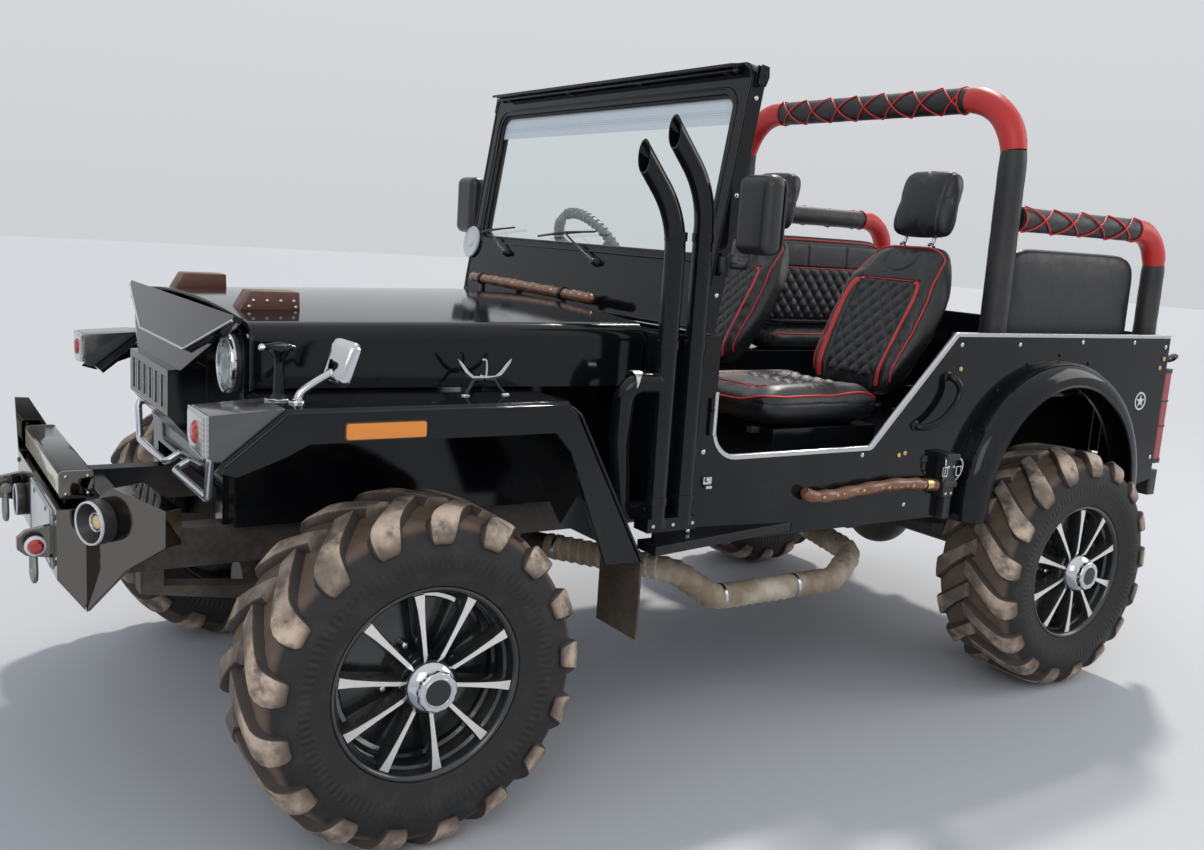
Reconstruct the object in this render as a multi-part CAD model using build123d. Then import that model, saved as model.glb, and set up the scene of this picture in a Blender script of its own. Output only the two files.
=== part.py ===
from build123d import *
import math
import os

os.makedirs("parts", exist_ok=True)

# Main sizes in millimetres: x to the vehicle's left, y rearwards from the front axle, z up from the ground
WHEELBASE = 2310
FRONT_END = -740
REAR_OVERHANG = 720
REAR_END = WHEELBASE + REAR_OVERHANG
MIDDLE_Y = (FRONT_END + REAR_END) / 2

# Wheels and tyres
LUG_R = 395
TREAD_R = 368
SIDEWALL_R = 290
RIM_R = 215
TYRE_W = 300
TREAD_W = 240
WHEEL_X = 745
LUGS_PER_SIDE = 17
LUG_TURN = 11
TYRE_SIDES = 24
BEAD_X = TYRE_W / 2 - 36
RIM_WALL = 9
SPOKES = 10
SPOKE_FACE = 125
SPOKE_DEPTH = 34
SPOKE_W_IN = 15
SPOKE_W_OUT = 26
HUB_R = 62
CAP_R = 44
CAP_OUT = 52
SPINDLE_R = 24
SPINDLE_GAP = 0.3
SPINDLE_IN = 45
RIM_SEAT = 0.3

# Chassis frame
RAIL_X = 340
RAIL_W = 60
RAIL_TOP = 655
RAIL_H = 95
CROSS_Y = (1020, 1640)
SPRING_W = 55
SPRING_T = 30
SPRING_HALF = 470
AXLE_TUBE_R = 38
DIFF_R = 125

# Steering
KINGPIN_X = 560
KINGPIN_R = 14
BOSS_R = 36
BOSS_H = 84
ARM_BACK = 145
TIE_ROD_R = 13
BALL_PIN_R = 9
COLUMN_X = -360
STEER_Y = 1150
STEER_Z = 1282
STEER_RISE = 30
STEER_R = 195
STEER_TUBE = 15

# Body tub
WALL = 12
TUB_X = 720
TUB_TOP = 1160
DRAWBAR_OUT = 110
TUB_REAR = REAR_END - DRAWBAR_OUT
SILL_Z = 590
FLOOR_Z = 690
COWL_Y = 692
COWL_TOP = 1148
DOOR_FRONT = 863
DOOR_SILL = 825
DOOR_CORNER = 80
ARCH_Y = WHEELBASE - 18
SLOPE_HIGH = ARCH_Y - 512
SLOPE_LOW = SLOPE_HIGH - 325
RAIL_LIP = 24
ARCH_Z = 622
ARCH_R = LUG_R - 20
FLARE_R = ARCH_R + 80
FLARE_OUT = 802
FLARE_T = 5
FLARE_TAIL = 45
WHEEL_BOX_X = 470
WHEEL_BOX_TOP = 965
WHEEL_BOX_FRONT = ARCH_Y - 442
GATE_X = 500
GATE_GAP = 6
GATE_HINGE_Y = TUB_REAR + 10
GATE_HINGE_Z = 688
GATE_HINGE_X = 350
HINGE_PIN_R = 6
HINGE_EYE_R = 12
HINGE_GAP = 0.3

# Nose, bonnet and front wings
NOSE_TOP = 1165
NOSE_Y = -340
NOSE_HALF = 545
BEAK_HALF = 245
BEAK_LOW = 1050
BEAK_BAND = 50
BEAK_OUT = 38
BEAK_T = 10
SLOT_BOX_HALF = 220
SLOT_BOX_Y = -405
SLOT_LOW = 893
GRILLE_LOW = 790
SLOTS = 6
SLOT_TOP = 985
GUARD_R = 9
GUARD_IN = 50
GUARD_OUT = 400
GUARD_LOW = 722
LAMP_X = 450
LAMP_Z = 1050
LAMP_R = 68
LAMP_GAP = 0.3
BONNET_T = 10
BONNET_FRONT = NOSE_Y + 34
BONNET_REAR = COWL_Y - 6
BONNET_HALF_FRONT = 550
BONNET_HALF_REAR = 620
BONNET_LOW = 1006
BONNET_TOP_FRONT = 1172
BONNET_TOP_REAR = 1190
BONNET_EDGE_R = 42
BONNET_HINGE_Y = COWL_Y + 8
BONNET_HINGE_Z = COWL_TOP + 18
BONNET_HINGE_X = 350
WING_OUT = FLARE_OUT
WING_IN = 420
WING_TOP = 1000
WING_T = 10
WING_SKIRT = 72
WING_EDGE = 12
APRON_X = 408

# Windscreen
SCREEN_HALF = TUB_X - 20
SCREEN_FOOT_Y = 812
SCREEN_FOOT_Z = 1155
SCREEN_H = 700
SCREEN_RAKE = 8.7
SCREEN_T = 42
SCREEN_POST = 60
GLASS_HALF = SCREEN_HALF - SCREEN_POST
GLASS_LOW = 196
GLASS_HIGH = 622
GLASS_T = 6
SCREEN_CORNER = 45

# Hoops
HOOP_R = 44
HOOP_Y = WHEEL_BOX_FRONT + 175
HOOP_X = 650
HOOP_Z = 1890
HOOP_BEND = 190
SIDE_HOOP_Z = 1520
SIDE_HOOP_REAR = TUB_REAR - 58
SIDE_HOOP_BEND = 130

# Seats and benches
SEAT_X = 385
SEAT_HALF = 232
SEAT_Y = WHEEL_BOX_FRONT - 465
SEAT_LONG = 510
SEAT_MIDDLE_Z = 925
SEAT_THICK = 122
SEAT_EDGE_R = 34
BACK_Y = SEAT_Y + SEAT_LONG / 2 + 35
BACK_LEAN = 28
BACK_HIGH = 556
BACK_THICK = 120
HEADREST = (250, 100, 225)
HEADREST_TILT = 15
BENCH_X = WHEEL_BOX_X + 90
BENCH_Y = ARCH_Y + 158
BENCH_LONG = 730
BENCH_THICK = 80
BENCH_BACK_X = TUB_X - 120
BENCH_BACK_HIGH = 400

# Stacks beside the windscreen post
STACK_R = 26
STACK_WALL = 3
STACK_X = TUB_X + 41
STACK_Y = COWL_Y - 32
STACK_PITCH = 84

# Front bumper
BUMPER_Y = -667
BUMPER_DEEP = 110
BUMPER_HALF = 350
BUMPER_TOP = 713
BUMPER_LOW = 553
FIN_Y = -610
FIN_SWEEP = 26
FIN_RUN = 274
FIN_T = 10
FIN_PEAK = (100, 775)
FIN_TOP = 755
FIN_END_LOW = 675
FIN_TIP_Z = 472
FIN_LAMP_R = 50
FIN_LAMP_RUN = 70
FIN_LAMP_Z = 697
EAR_X = 285
EAR_T = 20
EAR_BORE_R = 11
EAR_Z = 628


def block(x0, x1, y0, y1, z0, z1):
    """A box between two opposite corners."""
    middle = Pos((x0 + x1) / 2, (y0 + y1) / 2, (z0 + z1) / 2)
    return middle * Box(x1 - x0, y1 - y0, z1 - z0)


def side_plate(points, x0, x1):
    """An outline given as (y, z) points, thickened from x0 to x1."""
    face = Plane.YZ.offset(x0) * make_face(Polyline(*points, close=True))
    return extrude(face, x1 - x0)


def cross_plate(points, y0, y1):
    """An outline given as (x, z) points, thickened from y0 to y1."""
    face = Plane.XZ.offset(-y1) * make_face(Polyline(*points, close=True))
    return extrude(face, y1 - y0)


def flat_plate(points, z0, z1):
    """An outline given as (x, y) points, thickened from z0 to z1."""
    face = Plane.XY.offset(z0) * make_face(Polyline(*points, close=True))
    return extrude(face, z1 - z0)


def rod_x(radius, x0, x1, y, z):
    """A round bar along x."""
    return Pos((x0 + x1) / 2, y, z) * Rot(0, 90, 0) * Cylinder(radius, x1 - x0)


def rod_y(radius, y0, y1, x, z):
    """A round bar along y."""
    return Pos(x, (y0 + y1) / 2, z) * Rot(90, 0, 0) * Cylinder(radius, y1 - y0)


def rod_z(radius, z0, z1, x, y):
    """A round bar along z."""
    return Pos(x, y, (z0 + z1) / 2) * Cylinder(radius, z1 - z0)


def bent_tube(points, radius, bend):
    """A round tube along straight runs joined by bends of one radius."""
    path = FilletPolyline(*points, radius=bend)
    start = Plane(origin=path @ 0, z_dir=path % 0)
    return sweep(start * Circle(radius), path=path)


def both_sides(shape):
    """A left-hand piece with its mirror image on the right."""
    return Compound(children=[shape, mirror(shape, about=Plane.YZ)])


def hinge_posts(x, y, z, foot_low, foot_y0, foot_y1):
    """Two posts and the pin between them, for an eye at x."""
    posts = rod_x(HINGE_PIN_R, x - 35, x + 35, y, z)
    for side in (-1, 1):
        x0, x1 = sorted((x + side * 21, x + side * 35))
        posts += rod_x(HINGE_PIN_R + 2.5, x0, x1, y, z) + block(x0, x1, foot_y0, foot_y1, foot_low, z)
    return posts


def hinge_eye(x, y, z):
    """The eye that turns on a hinge pin, with its hole still to be cut."""
    return rod_x(HINGE_EYE_R, x - 18, x + 18, y, z)


def hinge_hole(x, y, z):
    """The running hole for a hinge pin."""
    return rod_x(HINGE_PIN_R + HINGE_GAP, x - 19, x + 19, y, z)


def flat_loft(sections):
    """A solid with a flat face between each pair of parallel edges of its sections."""
    faces = [make_face(Polyline(*end, close=True)) for end in (sections[0], sections[-1])]
    for near, far in zip(sections, sections[1:]):
        for i in range(len(near)):
            faces.append(make_face(Polyline(near[i], near[i - 1], far[i - 1], far[i], close=True)))
    return Solid(Shell(faces))


def save(name, shape):
    """Writes one node, moved so that the middle of the vehicle's length is at y = 0."""
    export_step(Pos(0, -MIDDLE_Y, 0) * shape, f"parts/{name}.step")


def tyre():
    """A left-hand tractor tyre about the x axis: a ring of flat-sided sectors with two rows of swept lugs."""
    half = TYRE_W / 2
    tread = TREAD_W / 2
    outside = LUG_R + 50
    ring = [(-BEAD_X, RIM_R), (-half, SIDEWALL_R), (-tread, TREAD_R), (tread, TREAD_R), (half, SIDEWALL_R),
            (BEAD_X, RIM_R)]
    step = 360 / TYRE_SIDES
    reach = math.tan(math.radians(step / 2)) * outside
    bar = extrude(Plane.XZ * make_face(Polyline(*ring, close=True)), reach, both=True)
    sector = bar & side_plate([(0, 0), (-reach, outside), (reach, outside)], -half - 1, half + 1)
    carcass = sector.fuse(*[Rot(i * step, 0, 0) * sector for i in range(1, TYRE_SIDES)])
    # Columns: place across the tread, place round it, lowest height, highest radius, width
    stations = [(-6, 58, 345, LUG_R, 46), (tread, -45, 325, LUG_R, 42), (half, -55, 314, 352, 38)]
    sections = []
    for x, y, low, high, width in stations:
        side = width / 2
        top = math.sqrt(high ** 2 - (abs(y) + side) ** 2)
        sections.append([(x, y - side, low), (x, y + side, low), (x, y + side, top), (x, y - side, top)])
    lug = Rot(LUG_TURN, 0, 0) * flat_loft(sections)
    pitch = 360 / LUGS_PER_SIDE
    lugs = []
    for i in range(LUGS_PER_SIDE):
        lugs.append(Rot(i * pitch, 0, 0) * lug)
        lugs.append(Rot((i + 0.5) * pitch, 0, 0) * mirror(lug, about=Plane.YZ))
    return carcass.fuse(*lugs)


def rim():
    """A left-hand alloy wheel about the x axis: barrel, ten flared spokes, hub and cap."""
    bead = BEAD_X
    seat = RIM_R - RIM_SEAT
    inside = seat - RIM_WALL
    barrel_outline = [(-bead - 1, seat), (bead + 1, seat), (bead + 6, RIM_R + 7), (bead + 14, RIM_R + 7),
                      (bead + 12, RIM_R - 6), (bead - 4, inside), (4 - bead, inside), (-bead - 12, RIM_R - 6),
                      (-bead - 14, RIM_R + 7), (-bead - 6, RIM_R + 7)]
    barrel = revolve(make_face(Polyline(*barrel_outline, close=True)), axis=Axis.X)
    back = SPOKE_FACE - SPOKE_DEPTH
    spoke_outline = [(HUB_R - 8, -SPOKE_W_IN / 2), (RIM_R - 3, -SPOKE_W_OUT / 2), (RIM_R - 3, SPOKE_W_OUT / 2),
                     (HUB_R - 8, SPOKE_W_IN / 2)]
    spoke = extrude(Plane.YZ.offset(back) * make_face(Polyline(*spoke_outline, close=True)), SPOKE_DEPTH)
    hub = rod_x(HUB_R, back - 20, SPOKE_FACE, 0, 0)
    cap_outline = [(SPOKE_FACE - 1, 0), (SPOKE_FACE - 1, CAP_R + 10), (SPOKE_FACE + 8, CAP_R + 8),
                   (SPOKE_FACE + CAP_OUT - 14, CAP_R), (SPOKE_FACE + CAP_OUT - 12, CAP_R - 6),
                   (SPOKE_FACE + CAP_OUT, CAP_R - 8), (SPOKE_FACE + CAP_OUT, 0)]
    cap = revolve(make_face(Polyline(*cap_outline, close=True)), axis=Axis.X)
    spokes = [Rot(i * 360 / SPOKES, 0, 0) * spoke for i in range(SPOKES)]
    wheel = barrel.fuse(hub, cap, *spokes)
    bore = rod_x(SPINDLE_R + SPINDLE_GAP, back - 21, back - 20 + SPINDLE_IN, 0, 0)
    return wheel - bore


def wheels():
    """Four wheels: left ones as made, right ones mirrored, so that the lugs lead the same way round."""
    left_tyre, left_rim = tyre(), rim()
    # Columns: axle, its place, turn of the spokes in degrees
    for end, y, turn in (("front", 0, 26), ("rear", WHEELBASE, 18)):
        seat = Pos(WHEEL_X, y, LUG_R)
        for name, piece in (("tyre", left_tyre), ("rim", Rot(turn, 0, 0) * left_rim)):
            placed = seat * piece
            save(f"{name}_{end}_left", placed)
            save(f"{name}_{end}_right", mirror(placed, about=Plane.YZ))


def chassis_frame():
    """Two box rails with cross members, spring hangers and the rear drawbar."""
    low = RAIL_TOP - RAIL_H
    front = BUMPER_Y + BUMPER_DEEP
    rails = [block(side * RAIL_X - RAIL_W / 2, side * RAIL_X + RAIL_W / 2, front, TUB_REAR - 8, low, RAIL_TOP)
             for side in (-1, 1)]
    inner = RAIL_X - RAIL_W / 2
    members = [block(-inner, inner, y - 35, y + 35, low + 12, RAIL_TOP - 12)
               for y in (front + 60, *CROSS_Y, TUB_REAR - 60)]
    frame = rails[0].fuse(rails[1], *members)
    for y in (0, WHEELBASE):
        for end in (-1, 1):
            for side in (-1, 1):
                x = side * RAIL_X
                eye_y = y + end * SPRING_HALF
                frame += block(x - SPRING_W / 2, x + SPRING_W / 2, eye_y - 26, eye_y + 26, low - 40, low)
    plate_z = low + 20
    bar = block(-45, 45, TUB_REAR - 95, REAR_END, plate_z, plate_z + 22)
    frame += bar
    frame -= rod_z(15, plate_z - 5, plate_z + 27, 0, REAR_END - 35)
    return frame


def leaf_springs():
    """Four leaf packs, each an arched pack hung from two hangers, over or under its axle tube."""
    low = RAIL_TOP - RAIL_H - 40
    seat_z = LUG_R + AXLE_TUBE_R + 6
    packs = []
    for y in (0, WHEELBASE):
        arch = [(y - SPRING_HALF - 26, low), (y - SPRING_HALF - 26, low - SPRING_T / 2), (y - 90, seat_z),
                (y + 90, seat_z), (y + SPRING_HALF + 26, low - SPRING_T / 2), (y + SPRING_HALF + 26, low),
                (y + SPRING_HALF - 26, low), (y + 120, seat_z + SPRING_T + 16), (y - 120, seat_z + SPRING_T + 16),
                (y - SPRING_HALF + 26, low)]
        for side in (-1, 1):
            x = side * RAIL_X
            packs.append(side_plate(arch, x - SPRING_W / 2, x + SPRING_W / 2))
    return Compound(children=packs)


def axle_beam(y, reach):
    """A tube axle with its round differential housing and two spring seats."""
    beam = rod_x(AXLE_TUBE_R, -reach, reach, y, LUG_R)
    beam += Pos(0, y, LUG_R) * Sphere(DIFF_R)
    beam += rod_y(58, y - 175, y + 175, 0, LUG_R)
    seat_z = LUG_R + AXLE_TUBE_R + 6
    for side in (-1, 1):
        x = side * RAIL_X
        beam += block(x - SPRING_W / 2, x + SPRING_W / 2, y - 60, y + 60, LUG_R, seat_z)
    return beam


def front_axle():
    """The front beam ends in upright bosses that hold the kingpins."""
    beam = axle_beam(0, KINGPIN_X)
    for side in (-1, 1):
        x = side * KINGPIN_X
        beam += rod_z(BOSS_R, LUG_R - BOSS_H / 2, LUG_R + BOSS_H / 2, x, 0)
        for low, high in ((-BOSS_H / 2 - 1, -BOSS_H / 2 + 26), (BOSS_H / 2 - 26, BOSS_H / 2 + 1)):
            beam -= rod_z(KINGPIN_R + SPINDLE_GAP, LUG_R + low, LUG_R + high, x, 0)
    return beam


def rear_axle():
    """The rear beam carries drums and the stub shafts that the wheels turn on."""
    drum_face = WHEEL_X + SPOKE_FACE - SPOKE_DEPTH - 20
    beam = axle_beam(WHEELBASE, WHEEL_X - 60)
    for side in (-1, 1):
        inner, outer = sorted((side * (WHEEL_X - 95), side * (WHEEL_X - 15)))
        beam += rod_x(128, inner, outer, WHEELBASE, LUG_R)
        start, end = sorted((side * (WHEEL_X - 20), side * (drum_face + SPINDLE_IN - 5)))
        beam += rod_x(SPINDLE_R, start, end, WHEELBASE, LUG_R)
    return beam


def knuckle():
    """The left knuckle: a C of two ears round the axle boss, stub shaft, drum and steering arm."""
    inside = KINGPIN_X - BOSS_R
    web_in = KINGPIN_X + BOSS_R + 8
    ear_gap = BOSS_H / 2 + 0.3
    ear_top = ear_gap + 20
    body = block(web_in, web_in + 22, -48, 48, LUG_R - ear_top, LUG_R + ear_top)
    for low, high in ((-ear_top, -ear_gap), (ear_gap, ear_top)):
        body += block(KINGPIN_X, web_in + 2, -34, 34, LUG_R + low, LUG_R + high)
        body += rod_z(34, LUG_R + low, LUG_R + high, KINGPIN_X, 0)
    body += rod_z(KINGPIN_R, LUG_R - ear_gap - 1, LUG_R - BOSS_H / 2 + 25, KINGPIN_X, 0)
    body += rod_z(KINGPIN_R, LUG_R + BOSS_H / 2 - 25, LUG_R + ear_gap + 1, KINGPIN_X, 0)
    drum_face = WHEEL_X + SPOKE_FACE - SPOKE_DEPTH - 20
    body += rod_x(128, web_in + 20, WHEEL_X - 15, 0, LUG_R)
    body += rod_x(SPINDLE_R, WHEEL_X - 20, drum_face + SPINDLE_IN - 5, 0, LUG_R)
    arm_z = LUG_R - ear_top
    arm = [(KINGPIN_X + 30, -20), (KINGPIN_X + 30, 20), (KINGPIN_X + 16, ARM_BACK), (KINGPIN_X + 10, ARM_BACK + 18),
           (KINGPIN_X - 10, ARM_BACK + 18), (KINGPIN_X - 16, ARM_BACK), (KINGPIN_X - 30, 20), (KINGPIN_X - 30, -20)]
    body += flat_plate(arm, arm_z, arm_z + 18)
    body += rod_z(BALL_PIN_R, arm_z - 30, arm_z + 1, KINGPIN_X, ARM_BACK)
    return body


def tie_rod():
    """The rod that joins the two steering arms, with an eye at each end round the ball pin."""
    ear_top = BOSS_H / 2 + 0.3 + 20
    eye_z = LUG_R - ear_top - 18
    reach = KINGPIN_X
    rod = rod_x(TIE_ROD_R, -reach + 10, reach - 10, ARM_BACK, eye_z)
    for side in (-1, 1):
        rod += rod_z(22, eye_z - 16, eye_z + 16, side * reach, ARM_BACK)
        rod -= rod_z(BALL_PIN_R + SPINDLE_GAP, eye_z - 20, eye_z + 20, side * reach, ARM_BACK)
    return rod


def bumper_fin():
    """One swept fin in its own plane: x along it, y behind it, z its height."""
    peak_run, peak_z = FIN_PEAK
    outline = [(0, 694), (64, FIN_TOP + 2), FIN_PEAK, (FIN_RUN, FIN_TOP), (FIN_RUN, FIN_END_LOW), (144, 598),
               (5, FIN_TIP_Z), (0, BUMPER_LOW)]
    plate = cross_plate(outline, 0, FIN_T)
    ledge = cross_plate([FIN_PEAK, (FIN_RUN, FIN_TOP), (FIN_RUN, FIN_TOP - 8), (peak_run, peak_z - 8)], 0, 80)
    ledge &= flat_plate([(peak_run, 0), (FIN_RUN, 0), (FIN_RUN, 41), (peak_run, 80)], FIN_TOP - 30, peak_z + 5)
    return plate + ledge + block(FIN_RUN - FIN_T, FIN_RUN, 0, 41, FIN_END_LOW, FIN_TOP - 2)


def front_bumper():
    """A folded steel box with a swept fin on the left, an upright end plate on the right and shackle ears."""
    back = BUMPER_Y + BUMPER_DEEP
    body = block(-BUMPER_HALF, BUMPER_HALF, BUMPER_Y, back, BUMPER_LOW, BUMPER_TOP)
    body += Pos(BUMPER_HALF - 6, FIN_Y, 0) * Rot(0, 0, FIN_SWEEP) * bumper_fin()
    gusset = [(BUMPER_Y, BUMPER_LOW + 1), (FIN_Y, FIN_TIP_Z + 4), (FIN_Y + 12, BUMPER_LOW + 1)]
    body += side_plate(gusset, BUMPER_HALF - FIN_T, BUMPER_HALF)
    plate = [(back, BUMPER_TOP - 1), (BUMPER_Y, BUMPER_TOP - 1), (BUMPER_Y - 6, 857), (BUMPER_Y + 28, 855)]
    body += side_plate(plate, -BUMPER_HALF, FIN_T - BUMPER_HALF)
    for side in (1, -1):
        ear = [(BUMPER_Y, EAR_Z - 38), (BUMPER_Y, EAR_Z + 38), (FRONT_END + 18, EAR_Z + 28),
               (FRONT_END, EAR_Z + 12), (FRONT_END, EAR_Z - 12), (FRONT_END + 18, EAR_Z - 28)]
        x = side * EAR_X
        body += side_plate(ear, x - EAR_T / 2, x + EAR_T / 2)
        body -= rod_x(EAR_BORE_R, x - EAR_T, x + EAR_T, FRONT_END + 34, EAR_Z)
    return body


def bumper_lamps():
    """A long light bar on two feet, a round lamp on the left fin and one low on the box's right."""
    bar = block(-300, 300, BUMPER_Y + 14, BUMPER_Y + 86, BUMPER_TOP + 12, BUMPER_TOP + 74)
    bar = fillet(bar.edges().filter_by(Axis.X), 8)
    for x in (-230, 230):
        bar += block(x - 20, x + 20, BUMPER_Y + 30, BUMPER_Y + 70, BUMPER_TOP + 0.3, BUMPER_TOP + 14)
    fin_lamp = rod_y(FIN_LAMP_R, -40.3, -0.3, FIN_LAMP_RUN, FIN_LAMP_Z)
    fin_lamp = Pos(BUMPER_HALF - 6, FIN_Y, 0) * Rot(0, 0, FIN_SWEEP) * fin_lamp
    box_lamp = rod_y(42, BUMPER_Y - 24.3, BUMPER_Y - 0.3, -222, 606)
    return Compound(children=[bar, fin_lamp, box_lamp])


def grille():
    """The nose: folded beak with its band, set-back lamp panels and a slotted box that leans back below."""
    lean = math.degrees(math.atan2(BEAK_OUT, NOSE_TOP - BEAK_LOW))
    folds = []
    for low, y in ((BEAK_LOW, 0), (BEAK_LOW - BEAK_BAND, BEAK_T)):
        outline = [(-NOSE_HALF, NOSE_TOP), (NOSE_HALF, NOSE_TOP), (NOSE_HALF, NOSE_TOP - 12), (BEAK_HALF, low),
                   (-BEAK_HALF, low), (-NOSE_HALF, NOSE_TOP - 12)]
        folds.append(cross_plate(outline, y, y + BEAK_T + 1))
    beak = Pos(0, NOSE_Y, NOSE_TOP) * Rot(-lean, 0, 0) * Pos(0, 0, -NOSE_TOP) * (folds[0] + folds[1])
    panel_y = NOSE_Y + 26
    edge = BONNET_HALF_FRONT - BONNET_T - 8
    shoulder = NOSE_TOP - 75
    flank = SLOT_BOX_HALF + 90
    panel = cross_plate([(-edge + 40, shoulder + 40), (edge - 40, shoulder + 40), (edge, shoulder), (edge, 905),
                         (flank, GRILLE_LOW - 60), (-flank, GRILLE_LOW - 60), (-edge, 905), (-edge, shoulder)],
                        panel_y, panel_y + 14)
    slot_box = side_plate([(panel_y + 1, 1010), (SLOT_BOX_Y, 1003), (SLOT_BOX_Y, SLOT_LOW), (panel_y + 1, GRILLE_LOW)],
                          -SLOT_BOX_HALF, SLOT_BOX_HALF)
    nose = panel + slot_box + beak
    for side in (-1, 1):
        x0, x1 = side * RAIL_X - RAIL_W / 2, side * RAIL_X + RAIL_W / 2
        nose += block(x0, x1, panel_y, panel_y + 14, RAIL_TOP + 0.3, 800)
        nose -= rod_y(LAMP_R + LAMP_GAP, panel_y - 40, panel_y + 40, side * LAMP_X, LAMP_Z)
    pitch = 2 * SLOT_BOX_HALF / (SLOTS + 0.6)
    for i in range(SLOTS):
        x = (i - (SLOTS - 1) / 2) * pitch
        nose -= block(x - pitch * 0.28, x + pitch * 0.28, SLOT_BOX_Y - 20, panel_y + 30, SLOT_LOW + 14, SLOT_TOP)
    for i in range(4):
        share = (i + 0.5) / 4
        y = SLOT_BOX_Y + share * (panel_y - SLOT_BOX_Y)
        z = SLOT_LOW + share * (GRILLE_LOW - SLOT_LOW)
        nose -= block(-SLOT_BOX_HALF + 20, SLOT_BOX_HALF - 20, y - 20, y + 8, z - 5, z + 5)
    front = panel_y - 36
    guard = bent_tube([(GUARD_OUT, panel_y + 2, 830), (GUARD_OUT, front, 830), (GUARD_OUT - 22, front, GUARD_LOW),
                       (GUARD_IN, front, GUARD_LOW), (GUARD_IN, panel_y + 2, GUARD_LOW + 24)], GUARD_R, 16)
    return nose + guard + mirror(guard, about=Plane.YZ)


def front_lamps():
    """Two round headlamps in the lamp panels and two square lamps on the wings' front ends."""
    panel_y = NOSE_Y + 26
    head = rod_y(LAMP_R, panel_y - 22, panel_y + 16, LAMP_X, LAMP_Z)
    outline = [(-462, 905), (-462, 992), (-303, 1002), (-303, 998.4), (-425, 899.4), (-440, 899.4)]
    square = side_plate(outline, 648, 792)
    return Compound(children=[head, mirror(head, about=Plane.YZ), square, mirror(square, about=Plane.YZ)])


def wing():
    """The left front wing: flat top with rolled outer skirt, slanted nose and a raked rear leg."""
    top = WING_TOP
    outer = [(-440, 880), (-425, 898), (-300, top), (365, top), (392, top - 20), (605, SILL_Z),
             (492, SILL_Z + 4), (372, top - 118), (330, top - WING_SKIRT), (-255, top - WING_SKIRT), (-300, 905), (-400, 868)]
    skirt = side_plate(outer, WING_OUT - 14, WING_OUT)
    sheet = [(-425, 898), (-300, top), (365, top), (392, top - 20), (605, SILL_Z),
             (605 - WING_T, SILL_Z), (386, top - 24), (360, top - WING_T), (-296, top - WING_T), (-418, 890)]
    deck = side_plate(sheet, WING_IN, WING_OUT - 14)
    apron = block(APRON_X - WING_T, APRON_X, NOSE_Y + 44, COWL_Y - 0.3, RAIL_TOP + 0.3, top)
    join = side_plate(sheet, APRON_X - 1, WING_IN + 1)
    behind_nose = block(APRON_X - 20, BONNET_HALF_FRONT, -480, NOSE_Y + 44, 700, top + 5)
    shell = skirt + deck + apron + join - behind_nose
    crest = {(round(y), round(z)) for y, z in outer[1:6]}
    ridge = [e for e in shell.edges()
             if all(v.X > WING_OUT - 0.1 and (round(v.Y), round(v.Z)) in crest for v in e.vertices())]
    return chamfer(ridge, WING_EDGE)


def side_panel():
    """The left body side: door opening with its rounded corner, raked rear post and wheel arch."""
    arch_foot = ARCH_Z - 20
    outline = [(COWL_Y, SILL_Z), (COWL_Y, COWL_TOP), (DOOR_FRONT, COWL_TOP), (DOOR_FRONT, DOOR_SILL),
               (SLOPE_LOW, DOOR_SILL), (SLOPE_HIGH, TUB_TOP), (TUB_REAR, TUB_TOP), (TUB_REAR, 640),
               (ARCH_Y + ARCH_R + 60, arch_foot), (ARCH_Y - ARCH_R - 60, SILL_Z)]
    panel = side_plate(outline, TUB_X - WALL, TUB_X)
    corner = Pos(TUB_X - WALL / 2, DOOR_FRONT + DOOR_CORNER / 2, DOOR_SILL + DOOR_CORNER / 2)
    web = corner * Box(WALL, DOOR_CORNER, DOOR_CORNER)
    web -= rod_x(DOOR_CORNER, TUB_X - 2 * WALL, TUB_X + WALL, DOOR_FRONT + DOOR_CORNER, DOOR_SILL + DOOR_CORNER)
    panel += web
    lip = block(TUB_X - RAIL_LIP, TUB_X, SLOPE_HIGH, TUB_REAR, TUB_TOP - 14, TUB_TOP)
    panel += lip
    panel -= rod_x(ARCH_R, TUB_X - 2 * WALL, TUB_X + WALL, ARCH_Y, ARCH_Z)
    panel += block(GATE_X + GATE_GAP, TUB_X, TUB_REAR - WALL, TUB_REAR, 640, TUB_TOP)
    return panel


def tub_floor():
    """The floor pan with the two wheel boxes that stand on it."""
    inner = TUB_X - WALL - 0.3
    rear = TUB_REAR - WALL - 0.3
    low = FLOOR_Z - WALL
    floor = block(-inner, inner, COWL_Y + WALL + 0.3, rear, low, FLOOR_Z)
    for side in (-1, 1):
        x0, x1 = sorted((side * (WHEEL_BOX_X + WALL), side * (inner + 5)))
        floor -= block(x0, x1, WHEEL_BOX_FRONT + WALL, ARCH_Y + ARCH_R + 70, low - 1, FLOOR_Z + 1)
    for side in (-1, 1):
        x0, x1 = sorted((side * WHEEL_BOX_X, side * (WHEEL_BOX_X + WALL)))
        floor += block(x0, x1, WHEEL_BOX_FRONT, rear, low, WHEEL_BOX_TOP)
        x0, x1 = sorted((side * WHEEL_BOX_X, side * inner))
        floor += block(x0, x1, WHEEL_BOX_FRONT, rear, WHEEL_BOX_TOP - WALL, WHEEL_BOX_TOP)
        floor += block(x0, x1, WHEEL_BOX_FRONT, WHEEL_BOX_FRONT + WALL, low, WHEEL_BOX_TOP)
    for y in (*CROSS_Y, TUB_REAR - 60):
        floor += block(-RAIL_X - 30, RAIL_X + 30, y - 30, y + 30, RAIL_TOP + 0.3, low + 1)
    for side in (-1, 1):
        floor += hinge_posts(side * GATE_HINGE_X, GATE_HINGE_Y, GATE_HINGE_Z, low, rear - 20, GATE_HINGE_Y)
    return floor


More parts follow.
